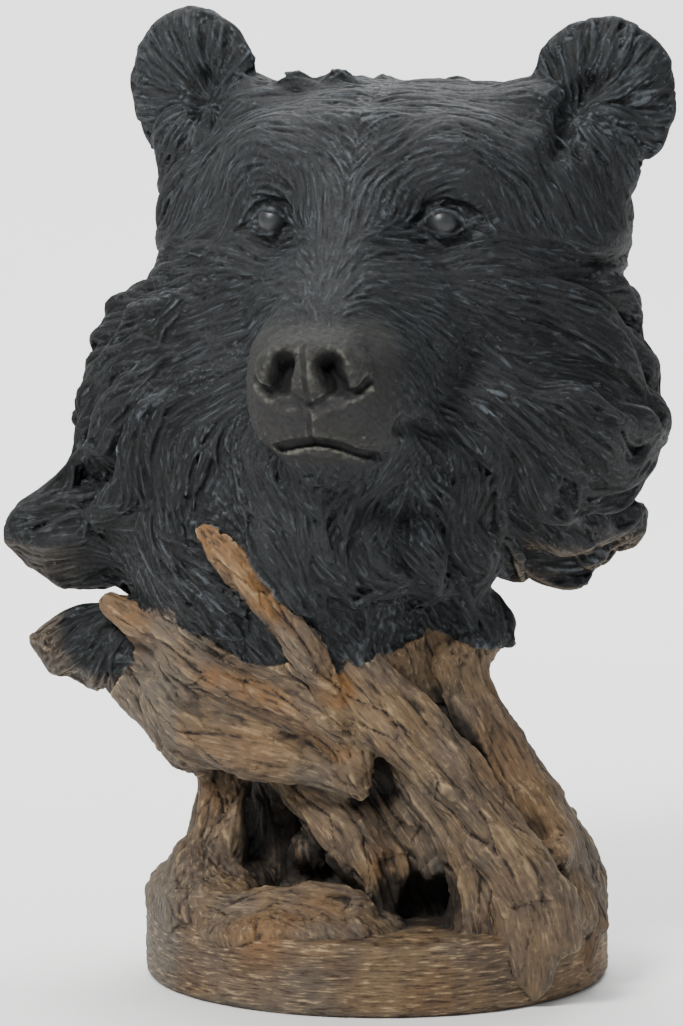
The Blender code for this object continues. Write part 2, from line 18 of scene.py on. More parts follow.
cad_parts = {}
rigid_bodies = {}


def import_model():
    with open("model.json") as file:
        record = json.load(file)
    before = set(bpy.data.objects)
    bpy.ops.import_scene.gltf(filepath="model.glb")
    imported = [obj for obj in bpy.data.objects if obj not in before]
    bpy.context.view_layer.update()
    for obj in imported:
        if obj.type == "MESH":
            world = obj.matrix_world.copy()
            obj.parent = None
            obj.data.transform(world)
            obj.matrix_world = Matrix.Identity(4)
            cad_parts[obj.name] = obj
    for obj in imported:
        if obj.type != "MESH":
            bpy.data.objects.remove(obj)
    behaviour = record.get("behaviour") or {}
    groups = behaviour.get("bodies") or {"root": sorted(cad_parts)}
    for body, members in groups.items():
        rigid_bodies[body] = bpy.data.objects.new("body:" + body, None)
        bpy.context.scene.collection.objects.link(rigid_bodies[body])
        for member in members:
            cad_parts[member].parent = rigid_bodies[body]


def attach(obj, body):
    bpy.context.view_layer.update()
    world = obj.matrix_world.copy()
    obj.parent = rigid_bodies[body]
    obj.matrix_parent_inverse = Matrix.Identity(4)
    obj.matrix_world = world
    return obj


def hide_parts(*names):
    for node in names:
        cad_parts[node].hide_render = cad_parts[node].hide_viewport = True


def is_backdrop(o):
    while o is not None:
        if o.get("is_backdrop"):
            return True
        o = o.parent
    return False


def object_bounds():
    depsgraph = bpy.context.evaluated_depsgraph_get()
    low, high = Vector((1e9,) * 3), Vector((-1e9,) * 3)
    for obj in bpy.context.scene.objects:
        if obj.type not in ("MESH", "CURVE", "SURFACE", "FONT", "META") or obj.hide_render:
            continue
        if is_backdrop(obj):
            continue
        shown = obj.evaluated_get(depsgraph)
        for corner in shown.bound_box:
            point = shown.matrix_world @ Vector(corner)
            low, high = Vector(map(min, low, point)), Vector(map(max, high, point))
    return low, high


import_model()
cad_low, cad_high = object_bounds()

print("CAD box, mm:", [round(1000 * v, 1) for v in (*cad_low, *cad_high)])

# %% [markdown]
# ## Units
#
# A figure keeps its proportions at any size, so everything here is laid out in units of one part in
# 313.5 of the whole height, which is a millimetre at the real size. X runs to the viewer's right,
# Y away, and Z up from the top of the foot. Only the finished skin is turned into metres.

# %% Units and the few driving sizes
UNITS_TALL = 313.5
UNIT = (cad_high.z - cad_low.z) / UNITS_TALL
FOOT_HEIGHT = 23.0
FOOT_RADIUS = 75.0
FOOT_EDGE = 1.8

HEAD_AT = np.array((7.0, 10.0, 240.0))
HEAD_TURN = math.radians(-16.5)
EYE_AT = np.array((27.5, -48.0, -18.0))
EYE_RADIUS = 4.8
# rays that look for the skin start this far out
FAR_OUT = 200

# How finely each skin is fused, in units, and how often it is then softened
BLOCK_STEP, BLOCK_PASSES = 2.2, 22
CORE_STEP, CORE_PASSES = 1.6, 4
BODY_STEP, BODY_PASSES, BED_PASSES = 1.2, 3, 2
SKIN_STEP, SKIN_PASSES, SKIN_FACTOR = (0.54), 1, 0.4

print(f"one unit is {1000 * UNIT:.4f} mm")


def spin(angle):
    """The rows that turn points about Z."""
    c, s = math.cos(angle), math.sin(angle)
    return np.array(((c, s, 0), (-s, c, 0), (0, 0, 1)))


INTO_BUST, INTO_HEAD = spin(HEAD_TURN), spin(-HEAD_TURN)


def in_bust(points):
    """Points of the head's frame, turned and moved into the bust's frame."""
    return points @ INTO_BUST + HEAD_AT


def in_head(points):
    """The other way: points of the bust's frame, as the head sees them."""
    return (points - HEAD_AT) @ INTO_HEAD


def eased(low, high, values):
    """0 below low, 1 above high, and a smooth S between them."""
    t = np.clip((values - low) / (high - low), 0, 1)
    return t * t * (3 - 2 * t)

# %% [markdown]
# ## Noise
#
# Hair and grain are never regular. Most of what follows reads one kind of noise: random heights on
# a lattice of 64 cells a side, blended smoothly between the eight nearest. Reading it at many
# points at once is a few lines of numpy.

# %% Lattice noise
LATTICE = 64
lattice = np.random.RandomState(5).rand(LATTICE**3).astype(np.float32)


def noise(points):
    """Smooth noise from 0 to 1 at each point: the eight corners of its cell, blended."""
    whole = np.floor(points).astype(np.int64)
    part = (points - whole).astype(np.float32)
    part = part * part * (3 - 2 * part)
    low = whole & (LATTICE - 1)
    high = (whole + 1) & (LATTICE - 1)
    xs = (low[:, 0] * LATTICE * LATTICE, high[:, 0] * LATTICE * LATTICE)
    ys = (low[:, 1] * LATTICE, high[:, 1] * LATTICE)
    zs = (low[:, 2], high[:, 2])
    wide = ((1 - part[:, 0]), part[:, 0])
    deep = ((1 - part[:, 1]), part[:, 1])
    tall = ((1 - part[:, 2]), part[:, 2])
    total = np.zeros(len(points), np.float32)
    for i in (0, 1):
        for j in (0, 1):
            column = wide[i] * deep[j]
            corner = xs[i] + ys[j]
            ends = [lattice[corner + z] for z in zs]
            total += column * (tall[0] * ends[0] + tall[1] * ends[1])
    return total


def swell(points, size, shift=0):
    """Noise from -0.5 to 0.5 whose cells are that many units wide."""
    return noise(points / size + shift) - 0.5


def push(points, size, shifts):
    """A direction made of three noises."""
    return np.column_stack([swell(points, size, shift) for shift in shifts])


print("noise at three points:", noise(np.array(((0.5, 0, 0), (9.1, 2, 3), (-4, 7.7, 1)))).round(3))

# %% [markdown]
# ## Masses
#
# A sculptor starts from lumps and fuses them. Each lump here is a grid: rings of points, one after
# another, closed by a point at either end. Every point also carries a tag of four numbers: three
# for the way that hair or grain runs there, and one for what it is made of. When the lumps are
# fused, the skin takes the tags over, so hair can later run along each lock and grain along each
# root.

# %% Closed grids
FUR, LOCK, HAIR, ROOT, STUMP, BARE, FOOT = range(7)
KINDS = 7
DOWN = np.array((0.35, 0, -1.0)) / math.hypot(0.35, 1)
draw = np.random.RandomState(3)


def closed_grids(rings, made_of, ways=DOWN):
    """Triangles over rings of points (limbs, rings, around, 3), with a point at each limb's ends.

    A tag of four numbers from 0 to 1 goes with each point: half the way that the hair or grain runs
    there plus a half, and a code, which is what it is made of plus the limb's own random share."""
    count, rows, sides = rings.shape[:3]
    i, j = np.meshgrid(np.arange(rows - 1), np.arange(sides), indexing="ij")
    a, b = i * sides + j, i * sides + (j + 1) % sides
    c, d = a + sides, b + sides
    ring = np.arange(sides)
    after = (ring + 1) % sides
    first, last, top = rows * sides, rows * sides + 1, (rows - 1) * sides
    one = np.vstack(
        [
            np.stack([a, b, d], -1).reshape(-1, 3),
            np.stack([a, d, c], -1).reshape(-1, 3),
            np.stack([np.full(sides, first), after, ring], -1),
            np.stack([np.full(sides, last), top + ring, top + after], -1),
        ]
    )
    each = rows * sides + 2
    faces = (one + each * np.arange(count)[:, None, None]).reshape(-1, 3)
    ends = np.stack([rings[:, 0].mean(1), rings[:, -1].mean(1)], 1)
    points = np.concatenate([rings.reshape(count, -1, 3), ends], 1).reshape(-1, 3)
    code = np.repeat((made_of + 0.1 + 0.8 * draw.rand(count)) / KINDS, each)
    ways = np.broadcast_to(ways, rings.shape)
    ways = np.concatenate([ways.reshape(count, -1, 3), ways[:, 0, :1], ways[:, -1, :1]], 1)
    return points, faces, np.column_stack([0.5 + 0.5 * ways.reshape(-1, 3), code])


def grid(*axes):
    """Points whose three coordinates are each given for whole rows or columns at once."""
    return np.stack(np.broadcast_arrays(*axes), -1)

# %% Objects, and what their points hold
def placed(name, data):
    """A new object of the scene that shows the data."""
    obj = bpy.data.objects.new(name, data)
    bpy.context.scene.collection.objects.link(obj)
    return obj


def mesh_object(name, points, faces, grain=None):
    """A mesh object from arrays of points and triangles, with the tags as a colour attribute."""
    mesh = bpy.data.meshes.new(name)
    mesh.vertices.add(len(points))
    mesh.vertices.foreach_set("co", points.astype(np.float32).ravel())
    mesh.loops.add(faces.size)
    mesh.loops.foreach_set("vertex_index", faces.astype(np.int32).ravel())
    mesh.polygons.add(len(faces))
    mesh.polygons.foreach_set("loop_start", np.arange(0, faces.size, 3, dtype=np.int32))
    mesh.update(calc_edges=True)
    if grain is not None:
        store(mesh, "grain", grain)
    return placed(name, mesh)


def layer(mesh, name):
    """The mesh's list of four numbers a point under a name, made if it isn't there."""
    held = mesh.color_attributes
    return held.get(name) or held.new(name, "FLOAT_COLOR", "POINT")


def store(mesh, name, values):
    layer(mesh, name).data.foreach_set("color", values.astype(np.float32).ravel())


def stored(mesh, name):
    values = np.empty(len(mesh.vertices) * 4, np.float32)
    mesh.color_attributes[name].data.foreach_get("color", values)
    return values.reshape(-1, 4)


def forget(mesh, name):
    mesh.color_attributes.remove(mesh.color_attributes[name])


def shade_smooth(mesh):
    mesh.polygons.foreach_set("use_smooth", np.ones(len(mesh.polygons), bool))


def joined(name, masses):
    """Many masses as one mesh. They may run through each other."""
    starts = np.cumsum([0] + [len(points) for points, _, _ in masses])
    points = np.vstack([m[0] for m in masses])
    faces = np.vstack([m[1] + start for m, start in zip(masses, starts)])
    return mesh_object(name, points, faces, np.vstack([m[2] for m in masses]))


def read(obj):
    """The points and outward directions of a mesh."""
    count = len(obj.data.vertices)
    points, outward = np.empty(count * 3, np.float32), np.empty(count * 3, np.float32)
    obj.data.vertices.foreach_get("co", points)
    obj.data.vertex_normals.foreach_get("vector", outward)
    return points.reshape(-1, 3).astype(float), outward.reshape(-1, 3).astype(float)


def write(obj, points):
    obj.data.vertices.foreach_set("co", points.astype(np.float32).ravel())
    obj.data.update()

# %% Fusing, softening and carrying the tags
def settle(obj):
    """Makes what the modifiers show the mesh itself."""
    graph = bpy.context.evaluated_depsgraph_get()
    made, old = bpy.data.meshes.new_from_object(obj.evaluated_get(graph)), obj.data
    obj.modifiers.clear()
    obj.data = made
    bpy.data.meshes.remove(old)


def soften(obj, passes, factor=0.5):
    smooth = obj.modifiers.new("soften", "SMOOTH")
    smooth.factor = factor
    smooth.iterations = passes
    settle(obj)


def fused(name, source, step, passes, factor=0.5):
    """One closed skin over masses that run through each other, softened where they meet."""
    skin = placed(name, source.data.copy())
    remesh = skin.modifiers.new("fuse", "REMESH")
    remesh.mode = "VOXEL"
    remesh.voxel_size = step
    soften(skin, passes, factor)
    return skin


def take_tags(skin, source):
    """Gives each point of the skin the tags of the nearest spot on the masses."""
    layer(skin.data, "grain")
    carry = skin.modifiers.new("carry", "DATA_TRANSFER")
    carry.object = source
    carry.use_vert_data = True
    carry.data_types_verts = {"COLOR_VERTEX"}
    carry.vert_mapping = "POLYINTERP_NEAREST"
    carry.layers_vcol_vert_select_src = "ALL"
    carry.layers_vcol_vert_select_dst = "NAME"
    settle(skin)
    return stored(skin.data, "grain")


def as_mass(obj, grain):
    """A fused skin as one more mass.

    Triangles between two codes get points and a code of their own."""
    obj.data.calc_loop_triangles()
    faces = np.empty(len(obj.data.loop_triangles) * 3, np.int32)
    obj.data.loop_triangles.foreach_get("vertices", faces)
    faces, points = faces.reshape(-1, 3), read(obj)[0]
    codes = grain[faces, 3]
    torn = np.ptp(codes, axis=1) > 1e-4
    extra = grain[faces[torn]].reshape(-1, 4).copy()
    extra[:, 3] = np.repeat(codes[torn, 0], 3)
    more = points[faces[torn]].reshape(-1, 3)
    faces[torn] = len(points) + np.arange(len(more)).reshape(-1, 3)
    return np.vstack([points, more]), faces, np.vstack([grain, extra])

# %% Evening out, and other small helpers
def evened(obj, values, rounds):
    """Each point's values averaged with its neighbours' again and again."""
    ends = np.empty(len(obj.data.edges) * 2, np.int32)
    obj.data.edges.foreach_get("vertices", ends)
    a, b = ends.reshape(-1, 2).T
    count = len(values)
    near = 1 + np.bincount(a, minlength=count) + np.bincount(b, minlength=count)
    for _ in range(rounds):
        total = [v + np.bincount(a, v[b], count) + np.bincount(b, v[a], count) for v in values.T]
        values = np.column_stack(total) / near[:, None]
    return values


def scrap(*objects):
    for obj in objects:
        mesh = obj.data
        bpy.data.objects.remove(obj)
        bpy.data.meshes.remove(mesh)


def unit_rows(ways):
    return ways / np.maximum(np.linalg.norm(ways, axis=-1, keepdims=True), 1e-9)

# %% [markdown]
# ## Four kinds of mass
#
# - A ball is an egg whose three radii differ. With a power above 2 it grows boxier.
# - A limb is an oval profile carried along a smooth path, for roots and locks.
# - A stack is a set of ovals one over another, for the neck.
# - An ear is a ball whose front is dished towards a pit.

# %% Ball and limb
def ball(centre, radii, tilt=(0, 0, 0), square=2.0, made_of=FUR, sides=44):
    """Directions over a sphere, each divided by its own p-norm, then scaled, tilted and moved."""
    rise = np.linspace(-np.pi / 2, np.pi / 2, sides // 2 + 2)[1:-1, None]
    around = np.linspace(0, 2 * np.pi, sides, endpoint=False)[None, :]
    ways = grid(np.cos(rise) * np.cos(around), np.cos(rise) * np.sin(around), np.sin(rise))
    ways = ways / (np.abs(ways) ** square).sum(-1, keepdims=True) ** (1 / square)
    turn = np.array(Euler([math.radians(a) for a in tilt]).to_matrix())
    return closed_grids((ways * np.array(radii) @ turn.T + np.array(centre))[None], made_of)


def smooth_paths(points, radii, steps):
    """Catmull-Rom curves: on each stretch a cubic that leaves and arrives along its neighbours."""
    p, r = np.array(points, float), np.array(radii, float)
    p = np.concatenate([2 * p[:, :1] - p[:, 1:2], p, 2 * p[:, -1:] - p[:, -2:-1]], 1)
    t = np.linspace(0, 1, steps, endpoint=False)[:, None]
    stretches = p.shape[1] - 3
    a, b, c, d = (p[:, i : i + stretches, None, :] for i in range(4))
    squares, cubes = 2 * a - 5 * b + 4 * c - d, 3 * b - a - 3 * c + d
    path = 0.5 * (2 * b + (c - a) * t + squares * t**2 + cubes * t**3)
    sizes = r[:, :-1, None] + (r[:, 1:] - r[:, :-1])[..., None] * (t[:, 0] ** 2 * (3 - 2 * t[:, 0]))
    path = np.concatenate([path.reshape(len(p), -1, 3), p[:, -2:-1]], 1)
    return path, np.concatenate([sizes.reshape(len(p), -1), r[:, -1:]], 1)


def limbs(
    points, radii, flat=1.0, ribs=0.0, twist=0.0,
    made_of=ROOT, sides=24, steps=6, front=(0.0, -1.0, 0.0),
):
    """Paths (limbs, points, 3) with a ring round each point: wide to the side, flat to the front.

    Ribs make the ring's radius rise and fall three and five times, and twist turns them."""
    path, sizes = smooth_paths(points, radii, steps)
    ahead = unit_rows(np.gradient(path, axis=1))
    side = unit_rows(np.cross(ahead, front))
    proud = np.cross(side, ahead)
    around = np.linspace(0, 2 * np.pi, sides, endpoint=False)
    turn = np.radians(twist) * np.linspace(0, 1, path.shape[1])[:, None]
    ridges = np.cos(3 * (around - turn)) + 0.6 * np.cos(5 * (around + turn))
    reach = sizes[..., None] * (1 + ribs * ridges)
    across, out = (reach * np.cos(around))[..., None], (flat * reach * np.sin(around))[..., None]
    rings = path[:, :, None] + across * side[:, :, None] + out * proud[:, :, None]
    onward = np.where((ahead @ DOWN < 0)[..., None], -ahead, ahead)
    return closed_grids(rings, made_of, onward[:, :, None])


def limb(points, radii, *shape, **more):
    return limbs([points], [radii], *shape, **more)


def moved(mass, place):
    """The same mass with its points put through a function of place, such as in_bust."""
    return place(mass[0]), mass[1], mass[2]

# %% Stack and ear
def stack(stations):
    """Ovals at 40 heights, with the four edges of each read between the stations."""
    heights = sorted(stations)
    levels = np.linspace(heights[0], heights[-1], 40)[:, None]
    left, right, front, back = (
        np.interp(levels, heights, [stations[h][k] for h in heights]) for k in range(4)
    )
    around = np.linspace(0, 2 * np.pi, 48, endpoint=False)[None, :]
    x = (left + right) / 2 + (right - left) / 2 * np.cos(around)
    y = (front + back) / 2 + (back - front) / 2 * np.sin(around)
    return closed_grids(grid(x, y, levels)[None], FUR)


# each ear's centre and radii in the head's frame, and its pit as shares of the radii
EARS = {-1: ((-70.5, 4, 22.0), (24.2, 9, 27.0)), 1: ((65.3, 4, 18.6), (24.0, 9, 26.8))}
EAR_LEAN, EAR_TURN = math.radians(16), math.radians(18)
EAR_PIT, EAR_PIT_REACH = (0.3, -0.38), 1.15
EAR_DISH, EAR_TAPER = 1.05, 0.06


def ear(side):
    """A ball whose front moves back, most at the pit: a dish that gets shallower outwards."""
    middle, radii = EARS[side]
    points, faces, grain = ball((0, 0, 0), (1, 1, 1), sides=72)
    from_pit = np.hypot(points[:, 0] + side * EAR_PIT[0], points[:, 2] - EAR_PIT[1])
    front = points[:, 1] < 0.3
    points[:, 1] += front * EAR_DISH * np.maximum(0, 1 - from_pit / EAR_PIT_REACH) ** 1.2
    points[:, 0] *= 1 - EAR_TAPER * np.maximum(0, -points[:, 2])
    lean = np.array(Euler((0, side * EAR_LEAN, side * EAR_TURN)).to_matrix())
    return in_bust(points * np.array(radii) @ lean.T + np.array(middle)), faces, grain

# %% [markdown]
# ## The head and the mane's body
#
# The soft masses come first: skull, brows, cheeks, muzzle and a thick neck that is cut away under
# its right side. They are fused coarsely and softened a good deal, so that one runs into the next
# as modelling clay does.

# %% Soft masses of the head
def head_masses():
    """Balls, each given by its centre, its radii, its tilt in degrees and its squareness."""
    masses = {
        "skull": ((-1, 8, -23), (73, 54, 49), (0, 0, 0), 2.4),
        "left_temple": ((-58, 4, -21), (22.5, 30, 29), (0, 0, 0), 2.1),
        "forehead": ((-1, -14, -14), (54, 38, 38), (-18, 0, 0), 2.1),
        "glabella": ((0, -34, -18), (30, 22, 26), (-24, 0, 0), 2),
        "muzzle_root": ((0, -46, -50), (36, 32, 30), (20, 0, 0), 2),
        "muzzle": ((0, -66, -66), (28, 33, 25), (12, 0, 0), 2.7),
        "snout": ((0, -84, -70), (24, 17, 20), (6, 0, 0), 2.7),
        "jaw": ((0, -58, -88), (20, 30, 11), (6, 0, 0), 2.2),
        "chin": ((0, -79, -91), (14, 11, 7), (0, 0, 0), 2),
        "throat": ((0, -30, -92), (40, 42, 26), (0, 0, 0), 2),
    }
    for side, out in ((-1, 0), (1, -4)):
        masses["brow", side] = ((side * 28, -29, -3), (27, 19, 20), (0, 0, side * 24), 2)
        masses["malar", side] = ((side * 34, -29, -38), (26, 25, 19), (0, side * 20, side * 30), 2)
        masses["cheek", side] = ((side * (45 + 2.4 * out), -2, -54), (34, 42, 36), (0, 0, 0), 2)
        masses["jowl", side] = ((side * (43 + out), -8, -80), (41, 42, 32), (0, 0, 0), 2)
        root_at = (side * (64 + 1.4 * out), 4, 0)
        masses["ear_root", side] = (root_at, (20, 16, 25), (0, side * 24, 0), 2)
        masses["crest", side] = ((side * 40, -4, 16), (20, 14, 9), (0, side * -8, 0), 2)
    made = [moved(ball(*shape), in_bust) for shape in masses.values()]
    bridge = ((0, -26, 6), (0, -42, -16), (0, -60, -38), (0, -80, -58))
    made.append(moved(limb(bridge, (24, 22, 20, 20), 0.9, made_of=FUR), in_bust))
    return made

# %% Soft masses of the neck, and what is cut out of the stump
NECK = {
    # height: (left, right, front, back)
    226: (-63, 70, -30, 60),
    205: (-71, 70, -34, 66),
    190: (-78, 71, -41, 71),
    175: (-86, 76, -47, 75),
    150: (-90, 80, -52, 77),
    132: (-89, 66, -55, 75),
    118: (-87, 44, -57, 71),
    104: (-83, 27, -55, 67),
    86: (-72, 28, -50, 60),
    66: (-54, 29, -44, 55),
    44: (-40, 33, -34, 50),
    30: (-40, 40, -28, 50),
    14: (-50, 52, -26, 52),
    0: (-64, 66, -30, 58),
    -6: (-64, 66, -30, 58),
}


def neck_masses():
    return [
        stack(NECK),
        ball((52, 12, 128), (26, 34, 17), square=2.3),
        ball((66, 12, 160), (19, 34, 22)),
        ball((29, -18, 87), (11, 20, 12), (0, 30, 0)),
    ]


def hollows():
    """The cave under the shelf, the gap beside it, and a hollow at the back."""
    return [
        ball((-25, -40, 26), (20, 30, 19), square=2.4),
        ball((9, -44, 15), (6, 16, 8), square=2.2),
        ball((10, 62, 30), (22, 16, 24), (0, 20, 0), 2.2),
    ]


lumps = joined("lumps", head_masses() + neck_masses())
block = fused("block", lumps, BLOCK_STEP, BLOCK_PASSES)
for n, (points, faces, _) in enumerate(hollows()):
    waste = mesh_object(f"waste_{n}", points, faces)
    cut = block.modifiers.new("cut", "BOOLEAN")
    cut.operation = "DIFFERENCE"
    cut.solver = "EXACT"
    cut.object = waste
    settle(block)
    scrap(waste)
scrap(lumps)
print("soft block:", len(block.data.vertices), "points")

# %% Strokes over a skin
EYE_X, EYE_Z = EYE_AT[0], EYE_AT[2]
STROKE_STEP = 1.5


def mirrored(side, *places):
    """A route on the front view, (x, z), flipped to the left for side -1."""
    return tuple((side * x, z) for x, z in places)


def by_eye(side, *places):
    """A route whose places are given from the eye: how far outwards, and how far up."""
    return mirrored(side, *((EYE_X + out, EYE_Z + up) for out, up in places))


def tree_of(obj):
    return BVHTree.FromObject(obj, bpy.context.evaluated_depsgraph_get())


def dropped(tree, place, route):
    """Points along a route on the front view, (x, z), dropped onto the skin from in front."""
    route = np.array(route, float)
    far = np.concatenate([[0], np.cumsum(np.linalg.norm(np.diff(route, axis=0), axis=1))])
    at = np.linspace(0, far[-1], int(far[-1] / STROKE_STEP) + 1)
    found = []
    ahead = place(np.array(((0.0, 1.0, 0.0),))) - place(np.array(((0.0, 0.0, 0.0),)))
    for x, z in zip(np.interp(at, far, route[:, 0]), np.interp(at, far, route[:, 1])):
        start = place(np.array(((x, -FAR_OUT, z),), float))[0]
        hit = tree.ray_cast(Vector(start), Vector(ahead[0]))[0]
        if hit is not None:
            found.append(np.array(hit))
    return np.array(found)


def stroke_rise(points, route, width, height):
    """How far a stroke moves each point outwards: less the nearer it lies to the stroke's edge."""
    near = np.full(len(points), np.inf)
    ends = list(zip(route, route[1:])) or [(route[0], route[0] + 1e-3)]
    for a, b in ends:
        share = np.clip((points - a) @ (b - a) / ((b - a) @ (b - a)), 0, 1)
        near = np.minimum(near, np.linalg.norm(points - a - share[:, None] * (b - a), axis=1))
    return height * np.clip(1 - (near / width) ** 2, 0, 1) ** 2


def carve(obj, place, strokes):
    """Moves the points of obj in or out along each stroke: (route, half its width, height)."""
    points, outward = read(obj)
    tree = tree_of(obj)
    rise = np.zeros(len(points))
    for route, width, height in strokes:
        line = dropped(tree, place, route)
        reach = np.linalg.norm(line - line.mean(0), axis=1).max() + width
        close = np.flatnonzero(np.linalg.norm(points - line.mean(0), axis=1) < reach)
        rise[close] += stroke_rise(points[close], line, width, height)
    write(obj, points + rise[:, None] * outward)

# %% Sockets and other wide hollows of the soft block
WIDE_STROKES = [(((0, 10), (0, -4), (0, -16)), 6, -1.0)]
for side in (-1, 1):
    WIDE_STROKES += [
        (by_eye(side, (0, 1)), 13, -2.5),
        (mirrored(side, (18, -20), (15, -26)), 6, -1.6),
    ]
carve(block, in_bust, WIDE_STROKES)
print("wide strokes:", len(WIDE_STROKES))

# %% Where the fur ends
FUR_EDGE_X = (-100, -86, -71, -51, -43, -31, -22, -12, 2, 16, 28, 38, 46, 54)
FUR_EDGE_Z = (56, 64, 97, 90, 84, 83, 88, 77, 87, 92, 88, 86, 88, 112)
FUR_EDGE_BACK = 90
FACE_HALF_WIDE, FACE_HALF_TALL, FACE_MIDDLE_Z = 60, 68, -24


def above_edge(points):
    """Height above the mane's lower edge, which rises and falls along the front."""
    front = np.interp(points[:, 0], FUR_EDGE_X, FUR_EDGE_Z)
    share = eased(-10, 20, points[:, 1])
    return points[:, 2] - (front * (1 - share) + FUR_EDGE_BACK * share)


def face_reach(head):
    """0 at the middle of the face and 1 at its edge, where the long hair starts."""
    x, y, z = head.T
    front = np.sqrt((x / FACE_HALF_WIDE) ** 2 + ((z - FACE_MIDDLE_Z) / FACE_HALF_TALL) ** 2)
    return front + 1.5 * eased(0, 14, y)


def ear_reach(head):
    """Below 1 on either ear."""
    shares = [(head - centre) / (radii[0], 16, radii[2]) for centre, radii in EARS.values()]
    return np.minimum(*[np.linalg.norm(share, axis=1) for share in shares])


def muzzle_share(head):
    """1 on the bare front of the muzzle, and 0 a little behind it and under the lower lip."""
    x, y, z = head.T
    share = eased(-76, -87, y) * eased(27, 21, np.abs(x)) * eased(-43, -51, z)
    return share * eased(-92, -89, z)

# %% [markdown]
# ## Which way the hair runs
#
# A groomer would comb the coat one stroke at a time. Here a few dozen strokes are given as a place
# and a direction, and every other place takes a blend of the strokes near it. On the head the rule
# is simpler to write than to comb: arcs over the brows, back from the muzzle and over the cheeks,
# and out from the pit of each ear.

# %% The combed directions
COMBED_REACH = 14
COMBED = {
    # place: direction
    (-80, -20, 180): (-0.3, 0.1, -1),
    (-62, -44, 152): (0.3, 0, -1),
    (-88, -10, 128): (-1, 0, 0),
    (-60, -50, 118): (0.9, 0, -0.5),
    (-32, -54, 98): (0.7, 0, -0.9),
    (-8, -58, 120): (0.6, 0, -1),
    (24, -50, 102): (0.6, 0, -1),
    (0, -60, 142): (-0.2, 0, -1),
    (34, -56, 140): (0.1, 0, -1),
    (54, -42, 136): (0.8, 0.1, -0.6),
    (74, -14, 146): (1, 0.4, -0.3),
    (66, -26, 184): (0.8, 0.6, -0.5),
    (-66, -28, 205): (-0.5, 0.5, -0.8),
    (88, 24, 186): (0.2, 0.7, -0.9),
    (78, 58, 140): (-0.2, 0.4, -1),
    (0, 78, 190): (0, 0.3, -1),
    (0, 74, 110): (0, 0, -1),
    (-88, 40, 170): (-0.2, 0.4, -1),
    (-80, 46, 116): (-0.5, 0, -1),
}


def mane_way(points):
    """The blend of the combed strokes. Each counts by 1 over 1 plus its distance to the 4th."""
    total = np.zeros_like(points)
    for at, way in COMBED.items():
        near = 1 / (1 + (((points - at) ** 2).sum(-1) / COMBED_REACH**2) ** 2)
        total += near[:, None] * unit_rows(np.array(way, float))
    return unit_rows(total)


def head_way(points):
    """Ways of short hair in the head's frame: arcs over the brows, else back and outwards."""
    x, y, z = points.T
    side = np.sign(x) + (x == 0)
    middle = np.exp(-((x / 11) ** 2))
    lower = eased(-30, -60, z)
    general = np.column_stack(
        [side * (0.85 - 0.6 * middle), 0.9 + 0 * x, 1.0 * middle * (1 - lower) - 0.2 - 0.5 * lower]
    )
    ex, ez = np.abs(x) - EYE_AT[0], z - EYE_AT[2]
    reach = np.hypot(ex, 0.9 * ez)
    arc = np.column_stack([side * ez, 0.2 * reach, -0.9 * ex]) / (reach[:, None] + 1e-6)
    over = eased(3, 8, reach) * eased(56, 40, reach) * eased(-6, 5, ez) * eased(20, 0, y)
    way = unit_rows(general) * (1 - over[:, None]) + arc * over[:, None]
    for which, (centre, radii) in EARS.items():
        pit = np.array(centre) + (which * -6, -4, -5)
        out = unit_rows((points - pit) * (1, 0.3, 1))
        near = eased(1.3, 1.0, np.linalg.norm((points - centre) / (radii[0], 18, radii[2]), axis=1))
        way = way * (1 - near[:, None]) + out * near[:, None]
    return unit_rows(way)


def fur_way(points):
    """The head's rule above the jaw, the combed strokes below it, and a little disorder."""
    head = in_head(points)
    on_head = head_way(head) @ INTO_BUST
    share = eased(-98, -70, head[:, 2])[:, None]
    broad, close = push(points, 14, (3, 21, 40)), push(points, 5, (9, 27, 46))
    stray = broad * (1.5 - 1.2 * share) + close * (0.4 - 0.2 * share)
    return unit_rows(on_head * share + mane_way(points) * (1 - share) + stray)


print("hair on the chest runs", mane_way(np.array(((0.0, -60.0, 110.0),))).round(2))

# %% [markdown]
# ## Locks
#
# A lock starts under its neighbours, follows the hair over the skin, and lifts at its tip. Growing
# one is four or five steps: move along the hair, drop back onto the skin, lift by a little. The
# large locks stand in rows, as in the solid. Smaller ones are sown at random over them.

# %% How a lock grows
LOCK_SEED, LOCK_ROWS, LOCK_TOP, LOCK_ROW_SPACING, LOCKS_IN_ROW = 11, 7, 202, 17, 24
LOCK_LENGTH, LOCK_RADII, LOCK_LIFT, LOCK_FLAT = 40, (3, 8, 7.5, 1.5), (-2, 0.5, 1.5, 3), 0.6
NECK_AXIS = (-4, 8)


def furred(point):
    """Whether large locks grow here: round the neck, and not on the face or the wood."""
    head = in_head(point)
    face = head[1] < -20 and abs(head[0]) < 46 and head[2] > -92
    edge = 92 + 0.12 * max(point[0], 0) - 0.1 * min(point[0] + 40, 0)
    return not face and edge < point[2] < 222


def grow(tree, starts, lengths, lifts, way_at):
    """Paths of many locks at once: steps along the hair, each dropped onto the skin and lifted."""
    at, path, first_out = np.array(starts, float), [], None
    for lift in lifts:
        found = [tree.find_nearest(p)[:2] for p in at.tolist()]
        near = np.array([p[:] for p, _ in found])
        out = np.array([n[:] for _, n in found])
        path.append(near + out * lift)
        way = way_at(near)
        way = unit_rows(way - out * (way * out).sum(-1, keepdims=True))
        at = near + way * np.array(lengths)[:, None] / (len(lifts) - 1)
        first_out = out if first_out is None else first_out
    return np.stack(path, 1), first_out

